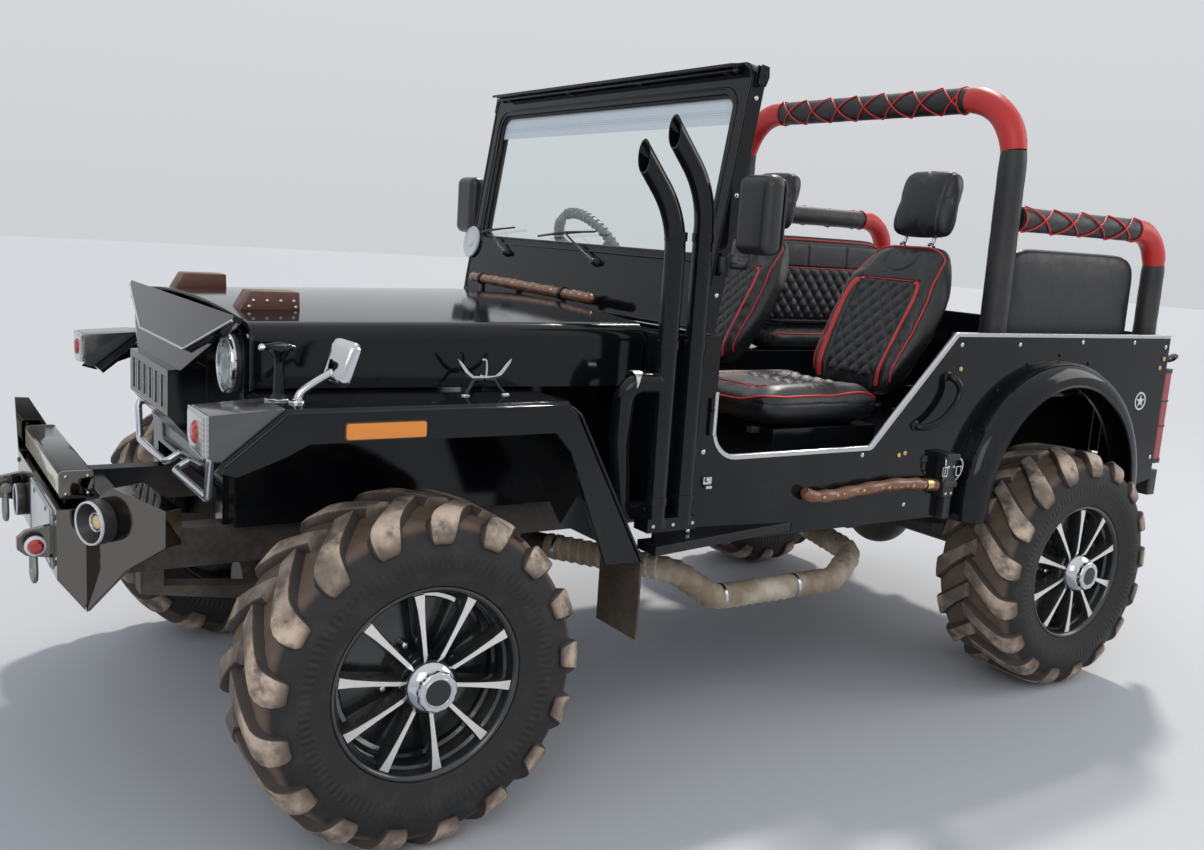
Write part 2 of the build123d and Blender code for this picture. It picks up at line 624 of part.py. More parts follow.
def cowl():
    """Bulkhead, scuttle top and dash panel between the body sides."""
    inner = TUB_X - WALL - 0.3
    cowl_body = block(-inner, inner, COWL_Y, COWL_Y + WALL, FLOOR_Z - WALL, COWL_TOP)
    cowl_body += block(-inner, inner, COWL_Y, DOOR_FRONT, COWL_TOP - WALL, COWL_TOP)
    cowl_body += block(-inner, inner, DOOR_FRONT - WALL, DOOR_FRONT, 985, COWL_TOP)
    rise = math.radians(STEER_RISE)
    start = (COLUMN_X, COWL_Y + 4, STEER_Z - (STEER_Y - COWL_Y - 4) * math.tan(rise))
    end = (COLUMN_X, STEER_Y - 21.3 * math.cos(rise), STEER_Z - 21.3 * math.sin(rise))
    run = math.dist(start, end)
    middle = tuple((a + b) / 2 for a, b in zip(start, end))
    column = Pos(*middle) * Rot(-(90 - STEER_RISE), 0, 0) * Cylinder(24, run)
    cowl_body += column
    for side in (-1, 1):
        cowl_body += hinge_posts(side * BONNET_HINGE_X, BONNET_HINGE_Y, BONNET_HINGE_Z, COWL_TOP - 2,
                                 BONNET_HINGE_Y - 6, BONNET_HINGE_Y + 8)
    return cowl_body


def steering_wheel():
    """A rim ring on three spokes, with a stub that turns in the column's end."""
    ring = Torus(STEER_R, STEER_TUBE)
    hub = Pos(0, 0, -4) * Cylinder(34, 34)
    wheel = ring + hub
    for turn in (90, 210, 330):
        wheel += Rot(0, 0, turn) * Pos(STEER_R / 2, 0, -3) * Box(STEER_R, 30, 8)
    return Pos(COLUMN_X, STEER_Y, STEER_Z) * Rot(-(90 - STEER_RISE), 0, 0) * wheel


def bonnet():
    """A crowned sheet with rolled edges and deep sides, wider towards the windscreen."""
    def section(y, half, top, inset):
        low = BONNET_LOW - (1 if inset else 0)
        edge = top - 22 - inset
        w = half - inset
        r = BONNET_EDGE_R
        outline = Polyline((-w, edge - r), (-w, low), (w, low), (w, edge - r))
        right = Polyline((w, edge - r), (w - r * 0.3, edge - r * 0.3), (w - r, edge))
        crown = ThreePointArc((w - r, edge), (0, top - inset), (-w + r, edge))
        left = Polyline((-w + r, edge), (-w + r * 0.3, edge - r * 0.3), (-w, edge - r))
        return Plane.XZ.offset(-y) * make_face(outline + right + crown + left)
    outer = loft([section(BONNET_FRONT, BONNET_HALF_FRONT, BONNET_TOP_FRONT, 0),
                  section(BONNET_REAR, BONNET_HALF_REAR, BONNET_TOP_REAR, 0)])
    inner = loft([section(BONNET_FRONT - 1, BONNET_HALF_FRONT, BONNET_TOP_FRONT, BONNET_T),
                  section(BONNET_REAR + 1, BONNET_HALF_REAR, BONNET_TOP_REAR, BONNET_T)])
    lid = outer - inner
    for side in (-1, 1):
        x = side * BONNET_HINGE_X
        lid += hinge_eye(x, BONNET_HINGE_Y, BONNET_HINGE_Z)
        lid += block(x - 18, x + 18, BONNET_REAR - 12, BONNET_HINGE_Y, BONNET_HINGE_Z, BONNET_HINGE_Z + HINGE_EYE_R)
        lid -= hinge_hole(x, BONNET_HINGE_Y, BONNET_HINGE_Z)
    return lid


def windscreen():
    """The raked frame with its glass opening, deep foot panel and header, and the glass."""
    frame = block(-SCREEN_HALF, SCREEN_HALF, 0, SCREEN_T, 0, SCREEN_H)
    frame = fillet(frame.edges().filter_by(Axis.Y).group_by(Axis.Z)[-1], SCREEN_CORNER)
    hole = Pos(0, SCREEN_T / 2, (GLASS_LOW + GLASS_HIGH) / 2) * Box(2 * GLASS_HALF, 3 * SCREEN_T, GLASS_HIGH - GLASS_LOW)
    hole = fillet(hole.edges().filter_by(Axis.Y), 45)
    frame -= hole
    groove = Pos(0, SCREEN_T / 2, (GLASS_LOW + GLASS_HIGH) / 2) \
        * Box(2 * GLASS_HALF + 16, GLASS_T + 0.6, GLASS_HIGH - GLASS_LOW + 16)
    groove = fillet(groove.edges().filter_by(Axis.Y), 50)
    frame -= groove
    pane = Pos(0, SCREEN_T / 2, (GLASS_LOW + GLASS_HIGH) / 2) \
        * Box(2 * GLASS_HALF + 14, GLASS_T, GLASS_HIGH - GLASS_LOW + 14)
    pane = fillet(pane.edges().filter_by(Axis.Y), 49)
    visor = side_plate([(8, SCREEN_H), (-46, SCREEN_H - 16), (-46, SCREEN_H - 24), (8, SCREEN_H - 14)],
                       SCREEN_CORNER - SCREEN_HALF, SCREEN_HALF - SCREEN_CORNER)
    frame = frame + visor
    seat = Pos(0, SCREEN_FOOT_Y, SCREEN_FOOT_Z) * Rot(-SCREEN_RAKE, 0, 0)
    return seat * frame, seat * pane


def main_hoop():
    """The padded hoop across the body behind the front seats."""
    points = [(HOOP_X, HOOP_Y, WHEEL_BOX_TOP + 0.3), (HOOP_X, HOOP_Y, HOOP_Z),
              (-HOOP_X, HOOP_Y, HOOP_Z), (-HOOP_X, HOOP_Y, WHEEL_BOX_TOP + 0.3)]
    return bent_tube(points, HOOP_R, HOOP_BEND)


def side_hoops():
    """Padded rails from the main hoop back along each body side and down to the wheel boxes."""
    points = [(HOOP_X, HOOP_Y + HOOP_R + 0.3, SIDE_HOOP_Z), (HOOP_X, SIDE_HOOP_REAR, SIDE_HOOP_Z),
              (HOOP_X, SIDE_HOOP_REAR, WHEEL_BOX_TOP + 0.3)]
    return both_sides(bent_tube(points, HOOP_R - 4, SIDE_HOOP_BEND))


def front_seats():
    """Seat boxes, cushions and reclined backs with headrests, left and right."""
    low = SEAT_MIDDLE_Z - SEAT_THICK / 2
    base = block(SEAT_X - SEAT_HALF + 30, SEAT_X + SEAT_HALF - 30, SEAT_Y - 195, SEAT_Y + 220,
                 FLOOR_Z + 0.3, low - 0.3)
    cushion = Pos(SEAT_X, SEAT_Y, SEAT_MIDDLE_Z) * Box(2 * SEAT_HALF, SEAT_LONG, SEAT_THICK)
    cushion = fillet(cushion.edges(), SEAT_EDGE_R)
    back = Pos(0, 0, BACK_HIGH / 2) * Box(2 * SEAT_HALF - 10, BACK_THICK, BACK_HIGH)
    back = fillet(back.edges(), SEAT_EDGE_R + 4)
    head = Pos(0, 0, HEADREST[2] / 2) * Box(*HEADREST)
    back += Pos(0, -6, BACK_HIGH + 18) * Rot(HEADREST_TILT, 0, 0) * fillet(head.edges(), SEAT_EDGE_R + 4)
    for x in (-60, 60):
        back += rod_z(12, BACK_HIGH - 30, BACK_HIGH + 60, x, 0)
    back = Pos(SEAT_X, BACK_Y, SEAT_MIDDLE_Z + 10) * Rot(-BACK_LEAN, 0, 0) * back
    return both_sides(base), both_sides(cushion), both_sides(back)


def rear_benches():
    """Side-facing bench cushions on the wheel boxes, with backs against the body sides."""
    seat_z = WHEEL_BOX_TOP + 0.3
    cushion = Pos(BENCH_X, BENCH_Y, seat_z + BENCH_THICK / 2) * Box(170, BENCH_LONG, BENCH_THICK)
    cushion = fillet(cushion.edges(), 24)
    back_z = seat_z + BENCH_THICK + 0.3 + BENCH_BACK_HIGH / 2
    back = Pos(BENCH_BACK_X, BENCH_Y, back_z) * Box(60, BENCH_LONG - 10, BENCH_BACK_HIGH)
    back = fillet(back.edges(), 26)
    return both_sides(cushion), both_sides(back)


def tailgate():
    """A flat pressed gate between the corner panels, hinged along its foot."""
    gate = block(-GATE_X, GATE_X, TUB_REAR - 6, TUB_REAR + 18, FLOOR_Z + 6, TUB_TOP - 4)
    gate -= block(-GATE_X + 50, GATE_X - 50, TUB_REAR + 8, TUB_REAR + 20, FLOOR_Z + 60, TUB_TOP - 60)
    for side in (-1, 1):
        x = side * GATE_HINGE_X
        for post in (-1, 1):
            x0, x1 = sorted((x + post * 18, x + post * 42))
            gate -= block(x0, x1, TUB_REAR - 7, TUB_REAR + 19, FLOOR_Z, GATE_HINGE_Z + 18)
        gate += hinge_eye(x, GATE_HINGE_Y, GATE_HINGE_Z)
        gate -= hinge_hole(x, GATE_HINGE_Y, GATE_HINGE_Z)
    return gate


def small_body_parts():
    """Flares, lamps, flaps, steps and mirrors, each node a left and a right piece."""
    side = TUB_X + 0.3
    lip = FLARE_OUT - FLARE_T
    skin = [(side, FLARE_R), (FLARE_OUT - 34, FLARE_R), (FLARE_OUT - 8, FLARE_R - 14), (FLARE_OUT, FLARE_R - 36),
            (FLARE_OUT, ARCH_R), (lip, ARCH_R), (lip, FLARE_R - 38), (FLARE_OUT - 13, FLARE_R - 18),
            (FLARE_OUT - 37, FLARE_R - FLARE_T), (side, FLARE_R - FLARE_T)]
    section = make_face(Polyline(*skin, close=True))
    flare = revolve(section, axis=Axis.X, revolution_arc=180)
    flare += extrude(section, -FLARE_TAIL) + extrude(mirror(section, about=Plane.XZ), -FLARE_TAIL)
    outer = Pos(0, ARCH_Y, ARCH_Z) * flare
    save("rear_flares", both_sides(outer))
    lamp = block(TUB_X - 62, TUB_X - 4, TUB_REAR + 0.3, TUB_REAR + 56, 700, 1035)
    save("tail_lamps", both_sides(fillet(lamp.edges().filter_by(Axis.Z), 14)))
    flap = block(618, WING_OUT - 2, 597, 603, 385, SILL_Z - 0.3)
    save("mudflaps", both_sides(flap))
    step = flat_plate([(TUB_X + 0.3, 640), (FLARE_OUT, 640), (TUB_X + 0.3, 1170)], SILL_Z + 10, SILL_Z + 34)
    save("side_steps", both_sides(step))
    head = Pos(SCREEN_HALF + 108, 880, 1460) * Box(132, 60, 198)
    head = fillet(head.edges(), 26)
    arm = bent_tube([(SCREEN_HALF + 0.3, 866, 1330), (SCREEN_HALF + 100, 866, 1330), (SCREEN_HALF + 100, 880, 1400)], 9, 20)
    save("mirrors", both_sides(head + arm))


def pipes():
    """The heat-wrapped exhaust loop under the left sill, and the stacks beside the windscreen post."""
    loop = [(150, 600, 559.7), (150, 600, 478), (570, 880, 470), (600, 1010, 385), (600, 1480, 385),
            (540, CROSS_Y[1] - 30, 440), (200, CROSS_Y[1], 480), (200, CROSS_Y[1], RAIL_TOP - RAIL_H + 11.7)]
    save("exhaust", bent_tube(loop, 36, 42))
    stacks = block(TUB_X + 0.3, STACK_X + 20, STACK_Y - 35, STACK_Y + STACK_PITCH + 33, SILL_Z + 65, SILL_Z + 100)
    # Columns: place along the body, height of the bend
    for y, bend_z in ((STACK_Y, 1440), (STACK_Y + STACK_PITCH, 1505)):
        tip = (STACK_X, y - 110, bend_z + 135)
        stack = bent_tube([(STACK_X, y, SILL_Z + 75), (STACK_X, y, bend_z), tip], STACK_R, 75)
        mouth = Pos(*tip) * Rot(math.degrees(math.atan2(110, 135)), 0, 0)
        stack -= mouth * Cylinder(STACK_R - STACK_WALL, 90)
        stack -= Pos(STACK_X, y - 110 - STACK_R, bend_z + 135) * Box(3 * STACK_R, 2 * STACK_R, 5 * STACK_R)
        stacks += stack
    intake = bent_tube([(STACK_X - 3, STACK_Y, 1032), (735, 560, 1032), (712, 566, 880), (690, 600, 690),
                        (690, COWL_Y - 0.3, 690)], 27, 46)
    save("stack_pipes", stacks + intake)


def engine():
    """The engine as one plain block with its gearbox, between the rails."""
    return block(-230, 230, -60, 640, 560, 985) + block(-120, 120, 640, 690, 600, 850)


wheels()
save("chassis_frame", chassis_frame())
save("leaf_springs", leaf_springs())
save("front_axle", front_axle())
save("rear_axle", rear_axle())
left_knuckle = knuckle()
save("knuckle_left", left_knuckle)
save("knuckle_right", mirror(left_knuckle, about=Plane.YZ))
save("tie_rod", tie_rod())
save("front_bumper", front_bumper())
save("bumper_lamps", bumper_lamps())
save("grille", grille())
save("front_lamps", front_lamps())
left_wing = wing()
save("wing_left", left_wing)
save("wing_right", mirror(left_wing, about=Plane.YZ))
left_side = side_panel()
save("side_left", left_side)
save("side_right", mirror(left_side, about=Plane.YZ))
save("tub_floor", tub_floor())
save("cowl", cowl())
save("steering_wheel", steering_wheel())
save("bonnet", bonnet())
screen_frame, screen_glass = windscreen()
save("windscreen_frame", screen_frame)
save("windscreen_glass", screen_glass)
save("main_hoop", main_hoop())
save("side_hoops", side_hoops())
seat_boxes, seat_cushions, seat_backs = front_seats()
save("seat_boxes", seat_boxes)
save("seat_cushions", seat_cushions)
save("seat_backs", seat_backs)
bench_cushions, bench_backs = rear_benches()
save("bench_cushions", bench_cushions)
save("bench_backs", bench_backs)
save("tailgate", tailgate())
small_body_parts()
pipes()
save("engine", engine())
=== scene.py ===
import math

import bmesh
import bpy
from mathutils import Matrix, Vector, noise
from mathutils.bvhtree import BVHTree


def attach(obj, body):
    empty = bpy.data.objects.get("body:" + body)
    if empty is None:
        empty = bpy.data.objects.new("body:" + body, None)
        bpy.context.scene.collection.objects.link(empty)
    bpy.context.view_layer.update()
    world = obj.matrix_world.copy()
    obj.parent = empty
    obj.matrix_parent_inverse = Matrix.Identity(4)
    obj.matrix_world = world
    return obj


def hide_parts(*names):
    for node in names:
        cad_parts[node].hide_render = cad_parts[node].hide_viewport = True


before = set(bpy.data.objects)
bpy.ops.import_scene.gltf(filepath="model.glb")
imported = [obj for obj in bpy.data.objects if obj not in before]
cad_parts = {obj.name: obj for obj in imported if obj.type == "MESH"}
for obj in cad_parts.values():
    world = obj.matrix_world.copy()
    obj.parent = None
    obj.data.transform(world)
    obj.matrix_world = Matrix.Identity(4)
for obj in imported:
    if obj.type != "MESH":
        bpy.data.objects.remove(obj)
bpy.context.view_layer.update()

# Camera, floor and studio light.
# The camera stands where the street photograph was taken, at a standing person's eye height off the
# front left corner; the floor is one plain pale sheet under a soft sky and three lamps.
yaw, pitch, roll = math.radians(33.5), math.radians(-9.57), math.radians(3.79)
look = Vector((-math.cos(yaw) * math.cos(pitch), math.sin(yaw) * math.cos(pitch), math.sin(pitch)))
level = look.cross(Vector((0, 0, 1))).normalized()
rise = level.cross(look)
right = math.cos(roll) * level + math.sin(roll) * rise
up = math.cos(roll) * rise - math.sin(roll) * level
lens = bpy.data.cameras.new("street_view")
lens.lens = 34.06
lens.sensor_width = 36
camera = bpy.data.objects.new("street_view", lens)
stand = Matrix.Translation((3.024, -2.162, 1.392))
camera.matrix_world = stand @ Matrix((right, up, -look)).transposed().to_4x4()
bpy.context.scene.collection.objects.link(camera)
bpy.context.scene.camera = camera
bpy.context.scene.view_settings.view_transform = "Standard"


def wire(tree, node, inputs):
    """Fills a node's sockets, each with a value or a link from another socket."""
    for key, value in inputs.items():
        if isinstance(value, bpy.types.NodeSocket):
            tree.links.new(value, node.inputs[key])
        else:
            node.inputs[key].default_value = value
    return node


def add(tree, kind, inputs=None, **settings):
    """Adds a shader node by the short name of its kind."""
    node = tree.nodes.new(kind if kind.startswith("NodeGroup") else "ShaderNode" + kind)
    for key, value in settings.items():
        setattr(node, key, value)
    return wire(tree, node, inputs or {})


def texture(tree, kind, inputs, **settings):
    """One value of a texture in the object's own space."""
    place = add(tree, "TexCoord").outputs["Object"]
    node = add(tree, "Tex" + kind, {"Vector": place, **inputs}, **settings)
    return node.outputs["Distance" if kind == "Voronoi" else "Fac"]


def calc(tree, operation, a, b=0.5):
    return add(tree, "Math", {0: a, 1: b}, operation=operation).outputs[0]


def blend(tree, share, low, high):
    return add(tree, "Mix", {0: share, 6: low, 7: high}, data_type="RGBA").outputs[2]


def start_finish(name):
    """A new material with its tree and its Principled shader."""
    made = bpy.data.materials.new(name)
    made.use_nodes = True
    return made, made.node_tree, made.node_tree.nodes["Principled BSDF"]


def link_object(name, mesh):
    made = bpy.data.objects.new(name, mesh)
    bpy.context.scene.collection.objects.link(made)
    return made


floor_mesh = bpy.data.meshes.new("studio_floor")
FLOOR_HALF = 40
floor_mesh.from_pydata([(FLOOR_HALF * a, FLOOR_HALF * b, 0) for a, b in ((-1, -1), (1, -1), (1, 1), (-1, 1))], [], [(0, 1, 2, 3)])
floor = link_object("studio_floor", floor_mesh)
floor_finish, tree, shader = start_finish("pale_floor")
speckle = texture(tree, "Noise", {"Scale": 160, "Detail": 4})
tone = blend(tree, speckle, (0.485, 0.495, 0.51, 1), (0.535, 0.54, 0.55, 1))
wire(tree, shader, {"Base Color": tone, "Roughness": 0.85})
floor_mesh.materials.append(floor_finish)

world = bpy.data.worlds.new("studio_sky")
bpy.context.scene.world = world
world.use_nodes = True
tree = world.node_tree
tree.nodes.clear()
height = add(tree, "SeparateXYZ", {0: add(tree, "TexCoord").outputs["Generated"]})
sky = add(tree, "ValToRGB", {0: height.outputs["Z"]})
low_sky, high_sky = sky.color_ramp.elements
low_sky.color = (0.62, 0.635, 0.66, 1)
high_sky.position = 0.75
high_sky.color = (0.86, 0.88, 0.91, 1)
rays = add(tree, "LightPath").outputs
seen = calc(tree, "MAXIMUM", rays["Is Camera Ray"], rays["Is Transmission Ray"])
seen = calc(tree, "MAXIMUM", seen, rays["Is Glossy Ray"])
shown = add(tree, "Background", {"Color": sky.outputs["Color"], "Strength": 1.0})
lighting = add(tree, "Background", {"Color": (0.84, 0.90, 1.0, 1), "Strength": 0.78})
both = add(tree, "MixShader", {0: seen, 1: lighting.outputs[0], 2: shown.outputs[0]})
add(tree, "OutputWorld", {0: both.outputs[0]})

# Columns: name, kind, place, strength, how wide it is, colour
lamps = [
    ("high_far_lamp", "SUN", (-2.7, 3.4, 5.8), 2.3, math.radians(4), (1.0, 0.95, 0.88)),
    ("near_soft_lamp", "AREA", (4.6, -3.8, 3.6), 60, 3.0, (0.94, 0.97, 1.0)),
    ("rear_soft_lamp", "AREA", (3.0, 5.6, 3.6), 70, 3.0, (1.0, 0.98, 0.95)),
]
for name, kind, place, power, wide, colour in lamps:
    light = bpy.data.lights.new(name, kind)
    setattr(light, "angle" if kind == "SUN" else "size", wide)
    light.energy = power
    light.color = colour
    lamp = link_object(name, light)
    lamp.location = place
    lamp.rotation_euler = (Vector((0, 0, 0.6)) - Vector(place)).to_track_quat("-Z", "Y").to_euler()

# Painted body panels.
# Pressed steel panels bolted together and sprayed in deep gloss black: the lacquer has a faint
# orange peel, and road dust settles low down and along ledges.
def span(tree, value, low, high, start=0.0, end=1.0, **settings):
    """A value carried from one range to another."""
    inputs = {"Value": value, "From Min": low, "From Max": high, "To Min": start, "To Max": end}
    return add(tree, "MapRange", inputs, **settings).outputs[0]


def varied(tree, source, low, high):
    """A value that runs between two limits with a pattern."""
    return span(tree, source, 0.3, 0.7, low, high)


COLOUR, VALUE = "NodeSocketColor", "NodeSocketFloat"
dust_film = bpy.data.node_groups.new("dust_film", "ShaderNodeTree")
for name, kind, start in (("Clean", COLOUR, (0, 0, 0, 1)), ("Dust", COLOUR, (0.3, 0.25, 0.2, 1)),
                          ("Amount", VALUE, 0.5), ("Fade height", VALUE, 1.0)):
    dust_film.interface.new_socket(name, in_out="INPUT", socket_type=kind).default_value = start
for name, kind in (("Colour", COLOUR), ("Mask", VALUE)):
    dust_film.interface.new_socket(name, in_out="OUTPUT", socket_type=kind)
given = add(dust_film, "NodeGroupInput").outputs
spot = add(dust_film, "SeparateXYZ", {0: add(dust_film, "TexCoord").outputs["Object"]})
facing = add(dust_film, "SeparateXYZ", {0: add(dust_film, "NewGeometry").outputs["Normal"]})
mask = given["Amount"]
for factor in (span(dust_film, spot.outputs["Z"], given["Fade height"], 0.15, 0.12, 1.0),
               span(dust_film, facing.outputs["Z"], -0.2, 1.0, 0.55, 1.3),
               span(dust_film, texture(dust_film, "Noise", {"Scale": 3.5, "Detail": 5}), 0.35, 0.7),
               span(dust_film, texture(dust_film, "Noise", {"Scale": 60, "Detail": 6}), 0.3, 0.7, 0.5)):
    mask = calc(dust_film, "MULTIPLY", mask, factor)
mask = add(dust_film, "Clamp", {0: mask}).outputs[0]
coloured = blend(dust_film, mask, given["Clean"], given["Dust"])
add(dust_film, "NodeGroupOutput", {"Colour": coloured, "Mask": mask})


def dusty(tree, clean, dust, amount, fade):
    """The dust group's outputs for this finish's own values."""
    inputs = {"Clean": clean, "Dust": dust, "Amount": amount, "Fade height": fade}
    return add(tree, "Group", inputs, node_tree=dust_film).outputs


def relief(tree, height, strength, depth, more=None):
    inputs = {"Height": height, "Strength": strength, "Distance": depth, **(more or {})}
    return add(tree, "Bump", inputs).outputs["Normal"]


def noise_bump(tree, scale, depth, detail=3):
    """A fine bump from noise over softly rounded edges, and the noise itself."""
    grain = texture(tree, "Noise", {"Scale": scale, "Detail": detail})
    soft_edge = add(tree, "Bevel", {"Radius": 0.0025}, samples=4).outputs[0]
    return relief(tree, grain, 1.0, depth, {"Normal": soft_edge}), grain


def coated_metal(name, clean, dust, amount, fade, rough, peel, coat=0.0, metallic=0.0, level=0.5):
    """A painted or plated metal: its colour under dust, slight ripple and patchy gloss."""
    made, tree, shader = start_finish(name)
    film = dusty(tree, clean, dust, amount, fade)
    normal, grain = noise_bump(tree, *peel)
    gloss = varied(tree, grain, rough * 0.8, rough * 1.25)
    dulled = add(tree, "Mix", {0: film["Mask"], 2: gloss, 3: 0.85}).outputs[0]
    wire(tree, shader, {"Base Color": film["Colour"], "Roughness": dulled, "Metallic": metallic, "Normal": normal,
                        "Coat Weight": coat, "Coat Roughness": 0.03, "Specular IOR Level": level})
    return made


def chromed(name, colour, amount, fade, rough, peel, metallic=1.0):
    """A plated or bright metal under a little grey dust."""
    return coated_metal(name, colour, GREY_DUST, amount, fade, rough, peel, metallic=metallic)


TAN_DUST = (0.30, 0.235, 0.175, 1)
GREY_DUST = (0.20, 0.185, 0.165, 1)
gloss_black = coated_metal("gloss_black_paint", (0.0045, 0.005, 0.0065, 1), GREY_DUST, 0.19, 1.0, 0.06, (420, 0.00005),
                           level=0.31)
chassis_black = coated_metal("chassis_black_paint", (0.016, 0.016, 0.017, 1), TAN_DUST, 0.9, 1.3, 0.45, (220, 0.0004))
chrome = chromed("bright_chrome", (0.60, 0.61, 0.63, 1), 0.12, 1.2, 0.05, (90, 0.00005))
brushed_steel = chromed("brushed_steel_trim", (0.62, 0.63, 0.64, 1), 0.25, 1.5, 0.26, (600, 0.00005))
brass = coated_metal("brass_fasteners", (0.66, 0.47, 0.22, 1), TAN_DUST, 0.25, 1.5, 0.25, (500, 0.00005), metallic=1.0)


def paint_nodes(finish, names):
    """Gives carried-over CAD nodes their finish."""
    for name in names.split():
        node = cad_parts[name]
        if not node.material_slots:
            node.data.materials.append(finish)
        for slot in node.material_slots:
            slot.material = finish


paint_nodes(gloss_black, "grille wing_left wing_right side_left side_right cowl windscreen_frame tailgate side_steps "
                         "tub_floor seat_boxes")
paint_nodes(chassis_black, "chassis_frame leaf_springs front_axle rear_axle knuckle_left knuckle_right tie_rod engine")

# Tractor tyres.
# Moulded black rubber on sixteen-inch rims: seventeen swept lugs a side, set half a pitch apart, round
# over the shoulder and end low on the sidewall; dry tan soil stays on the lugs and between them. The lug
# walls and the grooves between the lugs are darkened with painted shade.
AXLE_Y, REAR_Y = -1.145, 2.310
WHEEL_X, WHEEL_Z = 0.745, 0.395
LUGS = 17


def skin(rings, closed=True, caps=True):
    """Faces between rings that have the same number of points."""
    count = len(rings[0])
    points = [Vector(p) for ring in rings for p in ring]
    faces = []
    for start in range(0, (len(rings) - 1) * count, count):
        for i in range(count if closed else count - 1):
            j = (i + 1) % count
            faces.append((start + i, start + j, start + count + j, start + count + i))
    if caps:
        faces.append(tuple(reversed(range(count))))
        faces.append(tuple(range(len(points) - count, len(points))))
    return points, faces


def lathe(profile, steps, closed=False):
    """A profile of (place along x, radius) points turned about the x axis."""
    angles = [math.tau * i / steps for i in range(steps)]
    profile = profile + (profile[:1] if closed else [])
    return skin([[(x, -r * math.sin(a), r * math.cos(a)) for a in angles] for x, r in profile], caps=not closed)


def placed(shape, matrix):
    return [matrix @ Vector(p) for p in shape[0]], shape[1]


def turned(degrees, axis="X"):
    return Matrix.Rotation(math.radians(degrees), 4, axis)


def shifted(x, y, z):
    return Matrix.Translation((x, y, z))


def joined(shapes):
    points, faces = [], []
    for shape_points, shape_faces in shapes:
        start = len(points)
        points += list(shape_points)
        faces += [tuple(start + i for i in face) for face in shape_faces]
    return points, faces


def mirrored(shape):
    return [Vector((-p[0], p[1], p[2])) for p in shape[0]], [tuple(reversed(face)) for face in shape[1]]


def both_sides(shape):
    return joined([shape, mirrored(shape)])


def mesh_of(name, shape, finish, crease=35, roundness=0.0):
    """A clean mesh with smooth shading up to a crease angle; roundness breaks its edges."""
    mesh = bpy.data.meshes.new(name)
    mesh.from_pydata([tuple(p) for p in shape[0]], [], [f for f in shape[1] if len(set(f)) > 2])
    work = bmesh.new()
    work.from_mesh(mesh)
    bmesh.ops.remove_doubles(work, verts=work.verts, dist=1e-6)
    bmesh.ops.recalc_face_normals(work, faces=work.faces)
    if roundness:
        sharp = [e for e in work.edges if len(e.link_faces) == 2 and e.calc_face_angle() > math.radians(crease)]
        bmesh.ops.bevel(work, geom=sharp, offset=roundness, segments=2, profile=0.5, affect="EDGES", clamp_overlap=True)
    work.to_mesh(mesh)
    work.free()
    mesh.polygons.foreach_set("use_smooth", [True] * len(mesh.polygons))
    mesh.set_sharp_from_angle(angle=math.radians(crease))
    mesh.materials.append(finish)
    return mesh


def ramp(tree, value, low, high, start=0.0, end=1.0):
    return span(tree, value, low, high, start, end, interpolation_type="SMOOTHSTEP")


tyre_rubber, tree, shader = start_finish("dusty_tyre_rubber_painted_shade")
place = add(tree, "TexCoord").outputs
spot = add(tree, "SeparateXYZ", {0: place["Object"]}).outputs
facing = add(tree, "SeparateXYZ", {0: place["Normal"]}).outputs
y, z = spot["Y"], spot["Z"]
radius = calc(tree, "POWER", calc(tree, "ADD", calc(tree, "POWER", y, 2.0), calc(tree, "POWER", z, 2.0)), 0.5)
swing = calc(tree, "SUBTRACT", calc(tree, "MULTIPLY", facing["Z"], y), calc(tree, "MULTIPLY", facing["Y"], z))
# Painted shade: lug walls that face round the tyre get a dark colour of their own.
wall_shade_mask = ramp(tree, calc(tree, "DIVIDE", calc(tree, "ABSOLUTE", swing), radius), 0.38, 0.72)
above = add(tree, "Attribute", attribute_name="above_carcass").outputs["Fac"]
soil = texture(tree, "Noise", {"Scale": 22, "Detail": 7, "Roughness": 0.6})
patches = texture(tree, "Noise", {"Scale": 6, "Detail": 3})
# Painted shade: the grooves and the low carcass between the lugs are coloured darker than the crests, under the soil.
level = ramp(tree, calc(tree, "ADD", above, calc(tree, "MULTIPLY", patches, 0.006)), 0.009, 0.019)
share = calc(tree, "MULTIPLY", ramp(tree, soil, 0.30, 0.66), ramp(tree, patches, 0.36, 0.58, 0.30, 1.0))
# The crests carry less dust towards the tread's middle: partly road wear, partly painted shade.
share = calc(tree, "MULTIPLY", share, ramp(tree, calc(tree, "ABSOLUTE", spot["X"]), 0.035, 0.105, 0.42, 1.0))
crest = blend(tree, share, (0.100, 0.078, 0.064, 1), (0.66, 0.505, 0.375, 1))
groove_dust_and_shade = blend(tree, soil, (0.040, 0.030, 0.023, 1), (0.215, 0.145, 0.095, 1))
wall_painted_shade = blend(tree, soil, (0.014, 0.012, 0.011, 1), (0.075, 0.055, 0.042, 1))
tread = blend(tree, wall_shade_mask, blend(tree, level, groove_dust_and_shade, crest), wall_painted_shade)
side_share = ramp(tree, soil, 0.40, 0.80, 0.0, 0.30)
side = blend(tree, side_share, (0.0125, 0.0118, 0.0112, 1), (0.13, 0.10, 0.078, 1))
on_tread = calc(tree, "MAXIMUM", ramp(tree, radius, 0.345, 0.362), ramp(tree, above, 0.004, 0.009))
ribs = calc(tree, "SINE", calc(tree, "MULTIPLY", calc(tree, "ARCTAN2", y, z), 110.0))
rib_band = calc(tree, "MULTIPLY", ramp(tree, radius, 0.296, 0.300, 1.0, 0.0), ramp(tree, radius, 0.270, 0.274))
ribbed = calc(tree, "ADD", calc(tree, "MULTIPLY", ribs, rib_band), soil)
wire(tree, shader, {"Base Color": blend(tree, on_tread, side, tread), "Roughness": varied(tree, soil, 0.55, 0.9),
                    "Normal": relief(tree, ribbed, 0.8, 0.0014)})

